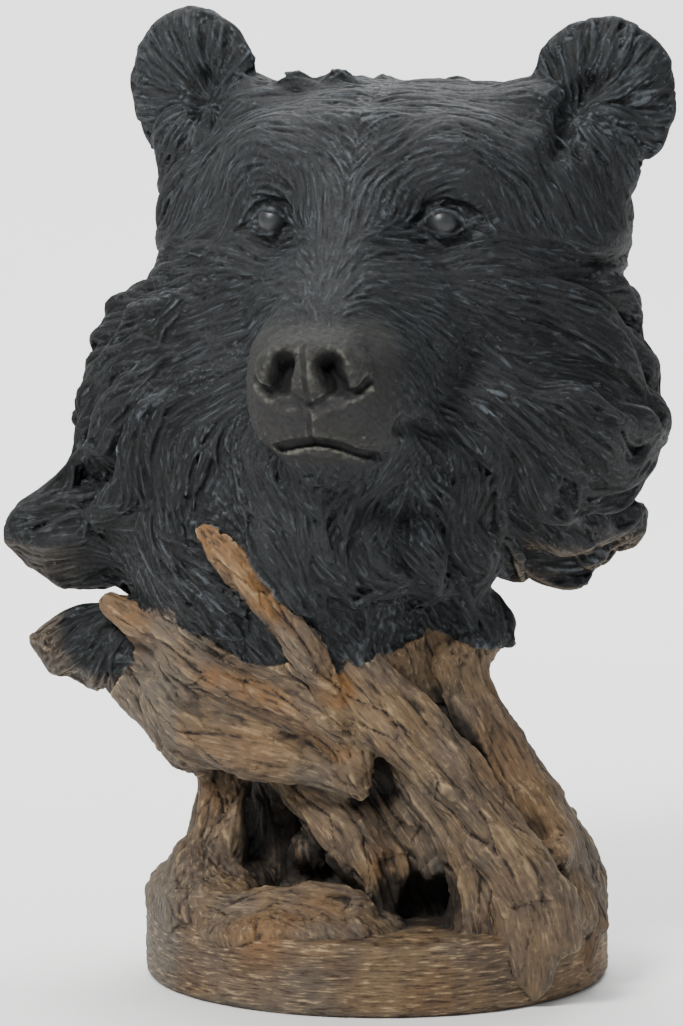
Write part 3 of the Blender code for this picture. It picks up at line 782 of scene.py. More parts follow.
# %% Large locks in rows
def lock_starts(skin_tree):
    """Rows round the neck, every other row shifted by half a lock, each start dropped inwards."""
    rng = np.random.RandomState(LOCK_SEED)
    starts, lengths = [], []
    for row in range(LOCK_ROWS):
        height = LOCK_TOP - row * LOCK_ROW_SPACING
        for k in range(LOCKS_IN_ROW):
            angle = 2 * math.pi * (k + 0.5 * (row % 2) + rng.uniform(-0.25, 0.25)) / LOCKS_IN_ROW
            out = np.array((math.cos(angle), math.sin(angle), 0))
            start = np.array((*NECK_AXIS, height + rng.uniform(-5, 5))) + out * FAR_OUT
            length = LOCK_LENGTH * rng.uniform(0.8, 1.25)
            at = skin_tree.ray_cast(Vector(start), Vector(-out))[0]
            if at is not None and furred(np.array(at)):
                starts.append(at[:])
                lengths.append(length)
    return starts, lengths


starts, lengths = lock_starts(tree_of(block))
lock_paths, _ = grow(tree_of(block), starts, lengths, LOCK_LIFT, mane_way)
print("large locks:", len(lock_paths))

# %% [markdown]
# ## The face, the flares and the driftwood
#
# The harder forms are added over the soft block: nose pad, lips, chin, lids and ears; the two
# ragged slabs that run out to the left; and the roots, each a limb with ribs that twist. Thin
# splinters follow every root, so that it doesn't look like a pipe.

# %% Nose, lips, lids and ears
# each lid's places across the eyeball, its radii there, and the heights of the upper and lower lid
LID_SPREAD = (-7.0, -4.0, 0, 4.2, 7.8)
LID_RADII = (0.5, 0.85, 1.0, 0.85, 0.5)
LIDS = ((-2.8, 1.4, 3.5, 2.5, -1.0), (-2.8, -3.4, -4.1, -3.3, -1.0))
LIPS = {
    # centre, radii, tilt, square, in the head's frame
    "pad_root": ((0, -91, -56), (16.5, 10, 8), (24, 0, 0), 2.3),
    "left_lip": ((-9, -87, -77), (13, 10, 10), (0, 0, 0), 2.3),
    "right_lip": ((9, -87, -77), (13, 10, 10), (0, 0, 0), 2.3),
    "mouth": ((0, -82, -85), (16, 11, 7), (0, 0, 0), 2.3),
}
NOSE = {
    "pad": ((0, -97, -60), (16, 8.5, 9.5), (-14, 0, 0), 2.2),
    "pad_point": ((0, -95.5, -67), (8, 7, 6.5)),
    "left_wing": ((-12.3, -95.5, -61.5), (6.4, 6.8, 7)),
    "right_wing": ((12.3, -95.5, -61.5), (6.4, 6.8, 7)),
}
LOWER_LIP = ((-11, -86, -88), (-5, -90, -87.4), (4, -90.3, -87.8), (13, -85, -89.5))


def lid(side, heights):
    """A thin limb over the eyeball: each point lies on a sphere just proud of it."""
    across, height = np.array(LID_SPREAD, float), np.array(heights, float)
    proud = np.sqrt(np.maximum(0, (EYE_RADIUS + 0.2) ** 2 - across**2 - height**2))
    seat = EYE_AT * (side, 1, 1)
    path = seat + np.column_stack([side * across, -proud, height])
    return moved(limb(path, LID_RADII, made_of=BARE), in_bust)


def muzzle_masses(shapes):
    return [moved(ball(*shape, made_of=BARE), in_bust) for shape in shapes.values()]


def eye_masses():
    made = []
    for side in (-1, 1):
        eyeball = ball(EYE_AT * (side, 1, 1), (EYE_RADIUS - 0.3,) * 3, made_of=BARE)
        made.append(moved(eyeball, in_bust))
        made += [lid(side, heights) for heights in LIDS]
    return made

# %% The two flares
UPPER_TIPS = ((-106, 6, 133), (-113, 4, 127), (-118, 6, 120), (-114, 8, 113), (-103, 8, 106))
LOWER_TIPS = ((-109, 2, 86), (-104, 0, 79), (-87, 2, 70), (-71, -2, 57), (-58, -6, 49))
FLARES = (
    # root, tips, radii, and how many stretches of the tips the fan's strands reach
    ((-78, 4, 119), UPPER_TIPS, (13, 10, 4), 4),
    ((-62, 0, 84), LOWER_TIPS, (17, 12, 4), 2),
)
FAN_STRANDS = 90
CROWN_TUFTS = (
    ((-18, 10, 261), (-26, 9, 266.5), (-33, 8, 268.5)),
    ((-5, 8, 261), (-12, 7, 267), (-18, 6, 269)),
)
SIDE_TUFT = ((27, -22, 104), (36, -22, 93), (47.5, -20, 83.5))


def flare_masses():
    made = [limb(path, (4, 3.4, 1), 0.7, made_of=LOCK) for path in CROWN_TUFTS]
    made.append(limb(SIDE_TUFT, (9, 7, 1), 0.8, made_of=LOCK))
    for root, tips, radii, _ in FLARES:
        for tip in tips:
            middle = 0.45 * np.array(root) + 0.55 * np.array(tip)
            made.append(limb((root, middle, tip), radii, 1.1, made_of=LOCK))
    return made


def fan_masses(rng):
    """Thin strands from the root of each flare to places along its torn edge."""
    made = []
    for root, tips, radii, fan in FLARES:
        tips, root = np.array(tips, float), np.array(root, float)
        place = np.sort(rng.uniform(0, fan, FAN_STRANDS))
        ends = np.column_stack([np.interp(place, range(len(tips)), tips[:, k]) for k in range(3)])
        each = (FAN_STRANDS, 1)
        face = rng.choice((-1, 1), each) * rng.uniform(0.4, 1, each) * (0, 1, 0)
        ends = root + (ends - root) * rng.uniform(0.8, 1.06, each)
        middle = 0.45 * root + 0.55 * ends + rng.normal(0, 1.5, ends.shape)
        stations = (root + face * radii[0], middle + face * radii[1] * 1.05, ends + face * radii[2])
        paths = np.stack(stations, 1)
        sizes = np.outer(rng.uniform(0.7, 1.4, FAN_STRANDS), (2.6, 2.4, 0.8))
        made.append(limbs(paths, sizes, 0.8, made_of=LOCK, sides=10))
    return made

# %% The roots
WOOD_RIBS, WARP_SIZE, WARP_REACH = 0.14, 13, 2.0
BARE_STRIPS = ("strip", "shelf_rim")
ROOTS = {
    # name: (points, radii, flatness, twist in degrees). First the shelf and what stands on it
    "shelf": (((-86, -4, 85), (-62, -16, 68), (-40, -26, 62), (-14, -32, 56)),
        (11, 14, 14, 11), 0.85, 60),
    "shelf_rim": (((-88, -14, 101), (-72, -22, 92), (-56, -29, 81), (-40, -37, 74), (-25, -42, 68),
        (-11, -44, 58)), (4, 5, 5.5, 5.5, 5.5, 4), 1.0, 90),
    "shelf_foot": (((-60, -18, 51), (-42, -30, 53), (-25, -36, 51), (-8, -40, 46)),
        (5, 7, 7, 5), 0.9, 60),
    "block": (((-75, -12, 82), (-69, -18, 69), (-63, -20, 59), (-58, -18, 49)),
        (7, 9, 8.5, 6), 0.9, 20),
    "tongue": (((-9, -40, 62), (-6, -44, 52), (-3, -42, 42)), (5, 5.5, 4), 0.9, 20),
    "leaf": (((-32, -38, 80), (-18, -45, 72), (-7, -46, 64), (-1, -43, 56)),
        (4, 8.5, 7.5, 4), 0.7, 20),
    "strip": (((-55, -46, 127), (-46, -53, 118), (-37, -55, 106), (-24, -54, 90), (-13, -50, 76)),
        (3, 4.4, 4.8, 4.6, 3), 1.0, 60),
    # the limbs that lean to the right
    "trunk": (((-20, -34, 98), (-7, -42, 80), (8, -45, 64), (24, -48, 45), (35, -50, 31),
        (45, -52, 16), (50, -52, -8)), (9, 10, 10.5, 10, 11, 12.5, 14), 0.9, 150),
    "trunk_low": (((2, -32, 72), (14, -37, 49), (25, -41, 32), (31, -44, 14), (30, -46, -6)),
        (8, 9, 9, 9, 11), 1, 90),
    "right_limb": (((20, -22, 102), (26, -27, 83), (33, -28, 64), (41, -28, 49), (49, -28, 34),
        (57, -27, 18), (60, -24, -4)), (9, 9, 9.5, 9.5, 9.5, 11, 14), 1.0, 140),
    "right_back": (((18, -4, 90), (27, -4, 62), (38, -2, 38), (51, 0, 14), (58, 0, -6)),
        (11, 11, 11, 13, 15), 1, 80),
    "rim_block": (((58, -10, 28), (63, -16, 16), (63, -24, 4), (62, -29, -8), (58, -30, -18)),
        (8, 9, 9, 9, 7), 1, 40),
    "rim_front": (((42, -50, 10), (45, -55, -1), (47, -55, -12), (46, -50, -20)),
        (11, 11, 9, 6), 0.9, 30),
    # the roots round the cave
    "left_root": (((-42, -6, 62), (-50, -10, 46), (-50, -14, 36), (-51, -19, 24), (-56, -21, 13),
        (-59, -22, -4)), (9, 8, 7.5, 8.5, 12, 15), 1.0, 70),
    "inner_root": (((-34, -8, 56), (-25, -18, 45), (-15, -25, 37), (-7, -31, 28), (-1, -34, 17),
        (2, -33, 4)), (9, 9.5, 10.5, 10.5, 10, 7), 1.0, 80),
    "inner_flank": (((-2, -20, 50), (8, -25, 38), (15, -29, 28), (20, -32, 15)),
        (10, 11, 10, 8), 1.0, 60),
    "pillar": (((-38, 6, 54), (-34, 1, 38), (-29, -4, 26), (-26, -8, 12), (-26, -8, -4)),
        (8, 7, 7, 9, 12), 1, 60),
    "ground_root": (((-58, -34, 4), (-34, -44, 7), (-13, -49, 9), (-1, -49, 7)),
        (8, 7, 6, 4), 0.75, 30),
    # plainer ones round the back
    "back_root": (((-14, 26, 88), (-14, 38, 50), (-24, 44, 22), (-34, 46, -6)),
        (14, 14, 14, 18), 1.0, 90),
    "back_strand": (((16, 30, 92), (8, 44, 60), (2, 50, 30), (-6, 52, -6)),
        (12, 10, 10, 14), 1.0, 90),
    "side_root": (((10, 22, 88), (26, 34, 50), (38, 34, 20), (50, 32, -6)),
        (14, 14, 13, 17), 1.0, 90),
    "left_back": (((-40, 16, 78), (-44, 22, 44), (-50, 22, 18), (-58, 20, -6)),
        (12, 11, 12, 16), 1.0, 80),
}
MOUNDS = (
    ((-53, -12, 4), (21, 32, 15)),
    ((-24, -44, -1), (34, 22, 9)),
    ((56, -10, 4), (18, 36, 16)),
    ((-6, 46, -1), (44, 26, 9)),
    ((57, -41, 23), (5, 5, 5)),
    ((-20, -22, 20), (8, 7, 8)),
    ((18, -22, 74), (12, 12, 22)),
)

# %% [markdown]
# Thin splinters lie along every root, and all but the two bare strips are pushed about by noise.

# %% Splinters and warping
def splinters(points, radii, rng, count=6):
    """Thin slivers laid along a root: each keeps to one side of it, thick in the middle."""
    (path,), (sizes,) = smooth_paths([points], [radii], 6)
    made = []
    for _ in range(count):
        turn = rng.uniform(0, 2 * math.pi)
        first = int(rng.uniform(0, 0.6) * len(path))
        some = path[first : first + max(6, int(rng.uniform(0.3, 0.6) * len(path)))]
        reach = sizes[first : first + len(some)]
        spiral = turn + np.linspace(0, rng.uniform(-0.8, 0.8), len(some))
        out = np.column_stack([np.cos(spiral), np.sin(spiral), 0 * spiral])
        keep = np.linspace(0, len(some) - 1, 4).astype(int)
        thick = rng.uniform(1.6, 3.2)
        line = (some + out * (reach[:, None] - 0.4 * thick))[keep]
        made.append(limb(line, (0.3, thick, 0.9 * thick, 0.3), 0.9, 0.15, 90, sides=12))
    return made


def warped(mass):
    """A mass whose points are pushed about by wide noises, so that nothing stays a clean tube."""
    points, faces, grain = mass
    return points + 2 * WARP_REACH * push(points, WARP_SIZE, (5, 25, 45)), faces, grain


def wood_masses():
    rng = np.random.RandomState(8)
    made = [ball(centre, radii, made_of=STUMP) for centre, radii in MOUNDS]
    for name, (points, radii, flat, twist) in ROOTS.items():
        near = [limb(points, radii, flat, WOOD_RIBS, twist, steps=8)]
        near += splinters(points, radii, rng)
        made += near if name in BARE_STRIPS else [warped(mass) for mass in near]
    return made


def root_line(name, steps):
    """Points along the middle of a root."""
    points, radii = ROOTS[name][:2]
    return smooth_paths([points], [radii], steps)[0][0]


BARE_WOOD = np.vstack([root_line(name, 6) for name in BARE_STRIPS])
# how far large locks, hairs and the paint of the fur keep off the bare strips
LOCK_CLEAR, HAIR_CLEAR, FUR_CLEAR = 10, 6.5, 9


def well_laid(paths, clear):
    """Which locks end above the mane's edge, keep off its wood strips, and don't jump a gap."""
    ends = above_edge(paths[:, -1]) > 0
    gaps = np.linalg.norm(paths[:, :, None] - BARE_WOOD, axis=-1).min((1, 2))
    strides = np.linalg.norm(np.diff(paths, axis=1), axis=-1)
    return ends & (gaps > clear) & (strides.max(1) < 1.5 * np.median(strides, axis=1))

# %% The foot and the soft block as masses
def foot_mass():
    """The turned foot: four rings, the outer two set in by the eased edge."""
    around = np.linspace(0, 2 * np.pi, 128, endpoint=False)[None, :]
    inset = FOOT_RADIUS - FOOT_EDGE
    radii = np.array((inset, FOOT_RADIUS, FOOT_RADIUS, inset))[:, None]
    level = np.array((-FOOT_HEIGHT, FOOT_EDGE - FOOT_HEIGHT, -FOOT_EDGE, 0))[:, None]
    return closed_grids(grid(radii * np.cos(around), radii * np.sin(around), level)[None], FOOT)


def block_mass():
    """The soft block as one more mass: fur above the mane's lower edge, and stump below it."""
    points, _ = read(block)
    grain = np.full((len(points), 4), 0.5)
    grain[:, 3] = (np.where(above_edge(points) < 0, STUMP, FUR) + 0.5) / KINDS
    return as_mass(block, grain)


soft = [block_mass()] + [ear(side) for side in (-1, 1)] + muzzle_masses(LIPS)
soft += flare_masses() + wood_masses()
print("masses that run into each other softly:", len(soft))

# %% The body
def fused_mass(masses, step, passes, strokes=(), thinner=0.0):
    """Masses fused into one tagged skin, which is carved, and drawn in where it will carry fur."""
    source = joined("source", masses)
    skin = fused("skin", source, step, passes)
    grain = take_tags(skin, source)
    scrap(source)
    if strokes:
        carve(skin, in_bust, strokes)
    points, outward = read(skin)
    furry = np.floor(grain[:, 3] * KINDS) < ROOT
    long_hair = 0.45 + 0.55 * eased(0.85, 1.15, face_reach(in_head(points)))
    write(skin, points - outward * (thinner * furry * long_hair)[:, None])
    grain[:, :3] = evened(skin, grain[:, :3], 6)
    return skin, as_mass(skin, grain)

# %% Where the strokes of the form run
def nostril(side):
    """The middle line of a nostril on the front view: upright, and running outwards at its foot."""
    return mirrored(side, (7.4, -58.6), (8.2, -61.6), (8.9, -65.0))


MOUTH = ((-3.5, -83.9), (1, -83.5), (5, -83.9), (9, -85), (12, -87), (17, -89.5))
FORM_STROKES = [
    # route on the front view of the head, half its width, and height
    (((-13, -86.3), (-8, -84.9), *MOUTH), 2.6, -2.4),
    (((24, -79), (28, -82)), 4.5, -3.0),
    (((-66, 25), (-65, 20), (-62, 14)), 6, -3.5),
    (((62, 23), (60, 17), (57, 9), (56, 3)), 5.5, -4.0),
    (((55, 26), (53, 18), (51, 8), (49, 0)), 6, 1.6),
]
for side in (-1, 1):
    FORM_STROKES += [
        (nostril(side), 5.6, -7),
        (nostril(side)[:2], 4.2, -8),
        (
            mirrored(side, (8.5, -65.5), (10, -66.6), (13, -68.2), (15.8, -67), (18, -64.2)),
            2.4, -2.4,
        ),
    ]
FUR_BED = 0.9
LOWER_LIP_RADII = (1.2, 2.1, 2.1, 1.2)
core_skin, core = fused_mass(soft, CORE_STEP, CORE_PASSES)
scrap(core_skin)
rng = np.random.RandomState(21)
lower_lip = moved(limb(LOWER_LIP, LOWER_LIP_RADII, 0.9, made_of=BARE), in_bust)
kept = lock_paths[well_laid(lock_paths, LOCK_CLEAR)]
big_locks = limbs(kept, [LOCK_RADII] * len(kept), LOCK_FLAT, made_of=LOCK)
body_masses = [core, big_locks, lower_lip] + fan_masses(rng) + muzzle_masses(NOSE)
body_skin, body = fused_mass(body_masses, BODY_STEP, BODY_PASSES, FORM_STROKES, FUR_BED)
print("body:", len(body[0]), "points")

# %% [markdown]
# ## Small locks and hairs
#
# Two sizes of hair are sown over the body at random. The locks are longest on the neck, short at
# the edge of the face, and radiate on the ears, where their tips make the rim ragged. Body and
# locks are fused once more, and the single hairs are sown on that. What would hang over a gap, or
# run across the bare strips of wood, is left out.

# %% Sow the small locks and the hairs
def hugging(tree, paths, far):
    """Which paths stay near the skin between their points too, and so hang over no gap."""
    middles = 0.5 * (paths[:, 1:] + paths[:, :-1])
    off = np.array([tree.find_nearest(p)[3] for p in middles.reshape(-1, 3).tolist()])
    return off.reshape(middles.shape[:2]).max(1) < far


def sown(skin, grain, zones, rng):
    """Locks or hairs of each zone, started at points of the skin that are picked at random."""
    points, _ = read(skin)
    kinds = np.floor(grain[: len(points), 3] * KINDS)
    head = in_head(points)
    hairy = (kinds <= HAIR) & (muzzle_share(head) < 0.4) & (above_edge(points) > 2)
    reach, on_ear = face_reach(head), ear_reach(head)
    tree = tree_of(skin)
    made = []
    for zone, share, (short, long), radius, flat, lifts, lean, made_of, sides in zones:
        low, high, ears = zone
        within = (reach > low) & (reach <= high) & ((on_ear <= EAR_REACH) == ears)
        chosen = np.flatnonzero(hairy & within)
        count = int(len(chosen) * share)
        starts = points[rng.choice(chosen, count, replace=False)]
        lengths = rng.uniform(short, long, count) * (0.5 + 0.5 * eased(2, 30, above_edge(starts)))
        lengths *= 1 - 0.6 * eased(-56, -76, in_head(starts)[:, 1])
        stray = rng.normal(0, lean, (count, 3))
        paths, out = grow(tree, starts, lengths, lifts, lambda p: unit_rows(fur_way(p) + stray))
        paths = paths + out[:, None] * rng.uniform(-0.3, 0.3, (count, 1, 1)) * radius
        shape = (0.5, 1, 0.9, 0.2) if len(lifts) == 4 else (0.5, 1, 1, 0.8, 0.2)
        fade = 1 - 0.45 * eased(-54, -72, in_head(starts)[:, 1])
        radii = np.outer(radius * fade * rng.uniform(0.7, 1.3, count), shape)
        kept = well_laid(paths, HAIR_CLEAR) & hugging(tree, paths, radius + HUG)
        ring = {"sides": sides, "steps": 5 if sides > 8 else 3, "front": out[kept][:, None]}
        made.append(limbs(paths[kept], radii[kept], flat, made_of=made_of, **ring))
        print(f"  {kept.sum()} of {count}, {short} to {long} long")
    return made

# %% Where wisps and hairs are sown
# From where to where each zone goes, as a reach from the middle of the face, and whether it is on
# the ears
EAR_REACH = 1.1
HUG = 0.9
LONG_HAIR, SHORT_HAIR = (1.0, np.inf, False), (-1, 1.0, False)
EDGE_HAIR, EAR_HAIR = (0.8, 1.15, False), (-1, np.inf, True)
WISPS = (
    # zone, share of the points, lengths, radius, flatness, lifts, disorder, kind, sides
    (LONG_HAIR, 0.016, (22, 40), 2.8, 0.55, (-1.5, 0.1, 0.4, 0.8), 0.14, LOCK, 14),
    (EDGE_HAIR, 0.016, (12, 22), 1.8, 0.5, (-1.0, 0.0, 0.2, 0.4), 0.10, LOCK, 12),
    (EAR_HAIR, 0.025, (9, 17), 1.6, 0.5, (-0.9, 0.1, 0.4, 1.3), 0.12, LOCK, 12),
)
HAIRS = (
    (LONG_HAIR, 0.075, (24, 44), 0.8, 1.0, (-0.5, 0.2, 0.35, 0.4, 0.2), 0.10, HAIR, 6),
    (SHORT_HAIR, 0.12, (13, 24), 0.62, 1.0, (-0.3, 0.15, 0.2, 0.1), 0.05, HAIR, 6),
    (EAR_HAIR, 0.13, (11, 22), 0.65, 1.0, (-0.4, 0.2, 0.3, 0.2), 0.07, HAIR, 6),
)
form = [body] + eye_masses()
form += sown(body_skin, body[2], WISPS, rng)
scrap(body_skin, block)
hair_bed, (_, _, grain) = fused_mass(form, BODY_STEP, BED_PASSES)
form += sown(hair_bed, grain, HAIRS, rng) + [foot_mass()]
scrap(hair_bed)

# %% [markdown]
# ## One skin
#
# All masses are fused at a step finer than a strand of hair, and the tags are carried over. From
# here on the skin is only cut in or raised, and never gets another mass.
#
# The tags also say which points are fur and which are wood. The line between them is drawn again
# along the mane's lower edge, and evened, so that it doesn't follow single strands.

# %% Fuse the skin
EDGE_ROUNDS, EDGE_WAVE, ROOT_TOP = 14, 3, 2
LEFT_FLARE, RIGHT_TUFT, SIDE_LOCKS = -64, 27, 10


def has_kind(kind, *wanted):
    return np.isin(kind, wanted)


def sharp_edge(points, kind):
    """Fur above the mane's lower edge and wood below it, except on the flares and the side tuft."""
    x, y, _ = points.T
    height = above_edge(points) + EDGE_WAVE * swell(points, 5, 31)
    soft_ground = has_kind(kind, FUR, STUMP)
    tips = has_kind(kind, LOCK, HAIR) & (x > LEFT_FLARE) & (x < RIGHT_TUFT) & (y < SIDE_LOCKS)
    kind = np.where(soft_ground, np.where(height > 0, FUR, STUMP), kind)
    kind = np.where(tips & (height < 0), STUMP, kind)
    tops = np.flatnonzero((kind == ROOT) & (height > ROOT_TOP))
    clear = np.linalg.norm(points[tops][:, None] - BARE_WOOD, axis=-1).min(1) > FUR_CLEAR
    kind[tops[clear]] = FUR
    wood = has_kind(kind, ROOT, STUMP, FOOT).astype(float)
    share = evened(skin, wood[:, None], EDGE_ROUNDS)[:, 0]
    kind = np.where((share > 0.5) & (kind <= HAIR), ROOT, kind)
    return np.where((share <= 0.5) & has_kind(kind, ROOT, STUMP), FUR, kind)


masses = joined("masses", form)
skin = fused("skin", masses, SKIN_STEP, SKIN_PASSES, SKIN_FACTOR)
grain = take_tags(skin, masses)
scrap(masses)
first_kind = np.floor(grain[:, 3] * KINDS).astype(int)
own_seed = grain[:, 3] * KINDS - first_kind
kind = sharp_edge(read(skin)[0], first_kind)
runs = unit_rows(2 * grain[:, :3] - 1)
hairy, woody, footing = kind <= HAIR, has_kind(kind, ROOT, STUMP), kind == FOOT
stranded = has_kind(kind, LOCK, HAIR)
print("skin:", len(grain), "points, of which locks and hairs:", int(stranded.sum()))

# %% [markdown]
# ## Carving the face
#
# Creases and rims are drawn on the front view as strokes, dropped onto the skin, and cut in or
# raised with a soft edge: the depth is the square of one minus the squared share of the width.

# %% Fine strokes of the face
FACE_STROKES = [
    # the folds of the nose and lips
    (((-1.0, -54), (-0.4, -57), (0.1, -60), (0.2, -66), (0.4, -72)), 1.3, -0.55),
    (((0.2, -75), (-0.2, -79), (-0.4, -83)), 1.2, -0.55),
    (((-9.5, -66.8), (-5, -68), (0.4, -72.3), (6, -68.3), (8.5, -66.8)), 1.4, -0.6),
    (((-12.6, -86.1), (-8, -84.8), *MOUTH), 1.7, -1.4),
    (((-9, -87.2), (-3, -86.9), (3, -87.2), (8, -88.2)), 2.0, 0.5),
    (((-17.6, -66.4), (-16.9, -67.4), (-13, -71), (-8.7, -73.4), (-4.4, -73.2)), 2.2, 0.6),
    (((1.5, -75.2), (4, -74.2), (11, -71.2), (15, -69.2), (18.2, -66.8)), 2.2, 0.6),
]
for side in (-1, 1):
    # the creases above and below the lids, and the outer corner
    FACE_STROKES += [
        (by_eye(side, (-8.5, 0), (-5, 5), (0, 6.8), (6, 5), (11, 0)), 1.8, -0.9),
        (by_eye(side, (-8, -5), (0, -8), (8, -5)), 2.0, -0.6),
        (by_eye(side, (7.5, -1), (14, -3)), 1.8, -1.2),
    ]

carve(skin, in_bust, FACE_STROKES)
points, outward = read(skin)
head = in_head(points)
print("face strokes:", len(FACE_STROKES))

# %% [markdown]
# ## Strands, fibres and chips
#
# Hair and wood fibre are noise that is smeared along the way the hair or grain runs: each point
# takes the average of the noise at about a dozen places before and after it. What results is long
# one way and fine the other, and follows every bend of a lock or a root.
#
# Weathered wood also breaks into long flat chips. Seats are picked at random, each point belongs
# to the nearest one, counted shorter along the grain, and every seat has a slope of its own. The
# fur is shared out among seats too, only so that the paint has one direction for each tuft.

# %% Strands and fibres
def smeared(chosen, cell, length, steps, shift=0):
    """The average of the noise along a short line through each point, spread out to 0 to 1."""
    total = np.zeros(len(chosen), np.float32)
    for share in np.linspace(-1, 1, steps):
        total += noise((points[chosen] + share * length * runs[chosen]) / cell + shift)
    total -= total.mean()
    return np.clip(0.5 + total / (4 * total.std()), 0, 1)


def ridged(values):
    """Folds noise into ridges with narrow valleys: one minus twice the distance from the middle."""
    return 1 - np.abs(2 * values - 1)


# the noise's cell, how far it is smeared each way, and over how many places
STRAND, FIBRE, FURROW = (1.1, 6, 11), (0.95, 7, 19), (3.2, 15, 13)
# how deep the fibres and furrows of the wood are cut, and how strongly they are painted
FIBRES, FURROWS, FIBRE_TONE, FURROW_TONE = 0.6, 0.6, 0.8, 0.35

relief = np.zeros(len(points))
furry = np.flatnonzero(kind <= LOCK)
bed = kind[furry] == FUR
runs[furry[bed]] = fur_way(points[furry[bed]])
muzzle = muzzle_share(head)
snout = np.maximum(muzzle, 0.75 * eased(-54, -72, head[:, 1]) * eased(32, 22, np.abs(head[:, 0])))
relief[furry] = (smeared(furry, *STRAND) - 0.5) * (1 - 0.8 * snout[furry])

tone = relief.copy()
wooden = np.flatnonzero(woody)
fibres = smeared(wooden, *FIBRE) - 0.5
furrows = ridged(smeared(wooden, *FURROW, shift=30)) ** 2 - 0.4
relief[wooden] = FIBRES * fibres - FURROWS * furrows
tone[wooden] = FIBRE_TONE * fibres - FURROW_TONE * furrows
print("fibres on", len(wooden), "points")

# %% Chips
CHIPS, CHIP_STRETCH, CHIP_TILT, CHIP_LIMIT = 420, 0.88, (0.42, 0.12), 1.7
CRACK_DEPTH, CRACK_TONE = 0.7, 0.25
BATCH = 20000


def nearest_seats(chosen, seats):
    """The two seats nearest to each point, with the grain's way shortened, and their gap."""
    pair, gap = np.empty((len(chosen), 2), np.int32), np.empty(len(chosen), np.float32)
    at, way = points[seats].astype(np.float32), runs[seats].astype(np.float32)
    for part in np.array_split(np.arange(len(chosen)), len(chosen) // BATCH + 1):
        here = points[chosen[part]].astype(np.float32)
        far = (here**2).sum(1)[:, None] - 2 * here @ at.T + (at**2).sum(1)
        far -= CHIP_STRETCH * (here @ way.T - (at * way).sum(1)) ** 2
        two = np.argpartition(far, 1, axis=1)[:, :2]
        reach = np.sqrt(np.maximum(np.take_along_axis(far, two, 1), 0))
        pair[part] = np.where(reach[:, :1] <= reach[:, 1:], two, two[:, ::-1])
        gap[part] = np.abs(reach[:, 1] - reach[:, 0])
    return pair, gap


rng = np.random.RandomState(33)
chip_seats = rng.choice(wooden, CHIPS, replace=False)
chips, gap = nearest_seats(wooden, chip_seats)
own_chip = chips[:, 0]
along = runs[chip_seats]
across = np.cross(along, outward[chip_seats])
slopes = across * rng.uniform(-1, 1, (CHIPS, 1)) * CHIP_TILT[0]
slopes = slopes + along * rng.uniform(-1, 1, (CHIPS, 1)) * CHIP_TILT[1]
planes = ((points[wooden][:, None] - points[chip_seats[chips]]) * slopes[chips]).sum(-1)
planes = np.clip(planes, -CHIP_LIMIT, CHIP_LIMIT)
ramp = 0.5 * eased(1.8, 0, gap)
crack = eased(1.6, 0.1, gap) * eased(0.45, 0.9, rng.uniform(0, 1, CHIPS))[own_chip]
relief[wooden] += planes[:, 0] * (1 - ramp) + planes[:, 1] * ramp - CRACK_DEPTH * crack
tone[wooden] -= CRACK_TONE * crack
chip_seed = np.full(len(points), 0.5)
chip_seed[wooden] = rng.uniform(0, 1, CHIPS)[own_chip]
brush_way = np.broadcast_to(DOWN, points.shape).copy()
brush_way[wooden] = along[own_chip]
relief[wooden] *= 0.45 + 0.55 * eased(1, 14, points[wooden, 2])
print("chips:", CHIPS, "tilted by up to", CHIP_TILT)

# %% Tufts
TUFTS = 900
woolly = np.flatnonzero(hairy)
tuft_seats = rng.choice(woolly, TUFTS, replace=False)
tufts, _ = nearest_seats(woolly, tuft_seats)
brush_way[woolly] = runs[tuft_seats[tufts[:, 0]]]
print("tufts:", TUFTS)

# %% The foot's grain runs round it
SIDE_TOP = -1.5
on_foot = np.flatnonzero(footing)
x, y, z = points[on_foot].T
ring, depth = np.arctan2(y, x) * FOOT_RADIUS, np.hypot(x, y) / 3
side_grain = [(ring / 7, z / 0.8, depth), (ring / 3, z / 1.6, depth)]
top_grain = [(x / 7, y, z / 3 + 9), (x / 3, y / 2, z / 3 + 9)]
side_rise, top_rise = (
    sum(noise(np.column_stack(at)) for at in two) for two in (side_grain, top_grain)
)
relief[on_foot] = np.where(z < SIDE_TOP, side_rise, top_rise) / 2 - 0.5
tone[on_foot] = 0.9 * relief[on_foot]

# %% [markdown]
# How deep each kind is cut differs: long hair deepest, the face less, the muzzle hardly at all,
# and the foot's underside not. The wood is also chipped and lumpy at two larger scales.

# %% Cut the relief
def smooth_copy(passes):
    """The skin's points and outward directions after that much softening."""
    copy = placed("copy", skin.data.copy())
    soften(copy, passes)
    smooth, facing = read(copy)
    scrap(copy)
    return smooth, facing


# how deep the relief is cut on fur, lock, hair, root, stump, bare skin and foot
DEPTHS = (0.6, 0.9, 0.0, 1.0, 1.0, 0.0, 0.7)
SHARPEN, SHARPEN_PASSES = 0.45, 8
LUMPS = (
    # where, and then for each size of lump its height, its width and its place in the noise
    (woody, ((2.2, 12, 11), (0.6, 1.7, 17))),
    (footing, ((0.5, 6, 7),)),
    (kind == BARE, ((0.4, 2.4, 3), (0.4, 1.2, 23))),
)
close_skin, _ = smooth_copy(SHARPEN_PASSES)
sharpened = ((points - close_skin) * outward).sum(-1) * hairy
rise = np.choose(kind, DEPTHS) * relief + SHARPEN * sharpened
for where, sizes in LUMPS:
    bumps = sum(high * swell(points, size, shift) for high, size, shift in sizes)
    rise += np.where(where, bumps, 0)
rise *= eased(0.2 - FOOT_HEIGHT, 2.5 - FOOT_HEIGHT, points[:, 2])
write(skin, points + rise[:, None] * outward)
points, outward = read(skin)
print(f"relief from {rise.min():.2f} to {rise.max():.2f} units")

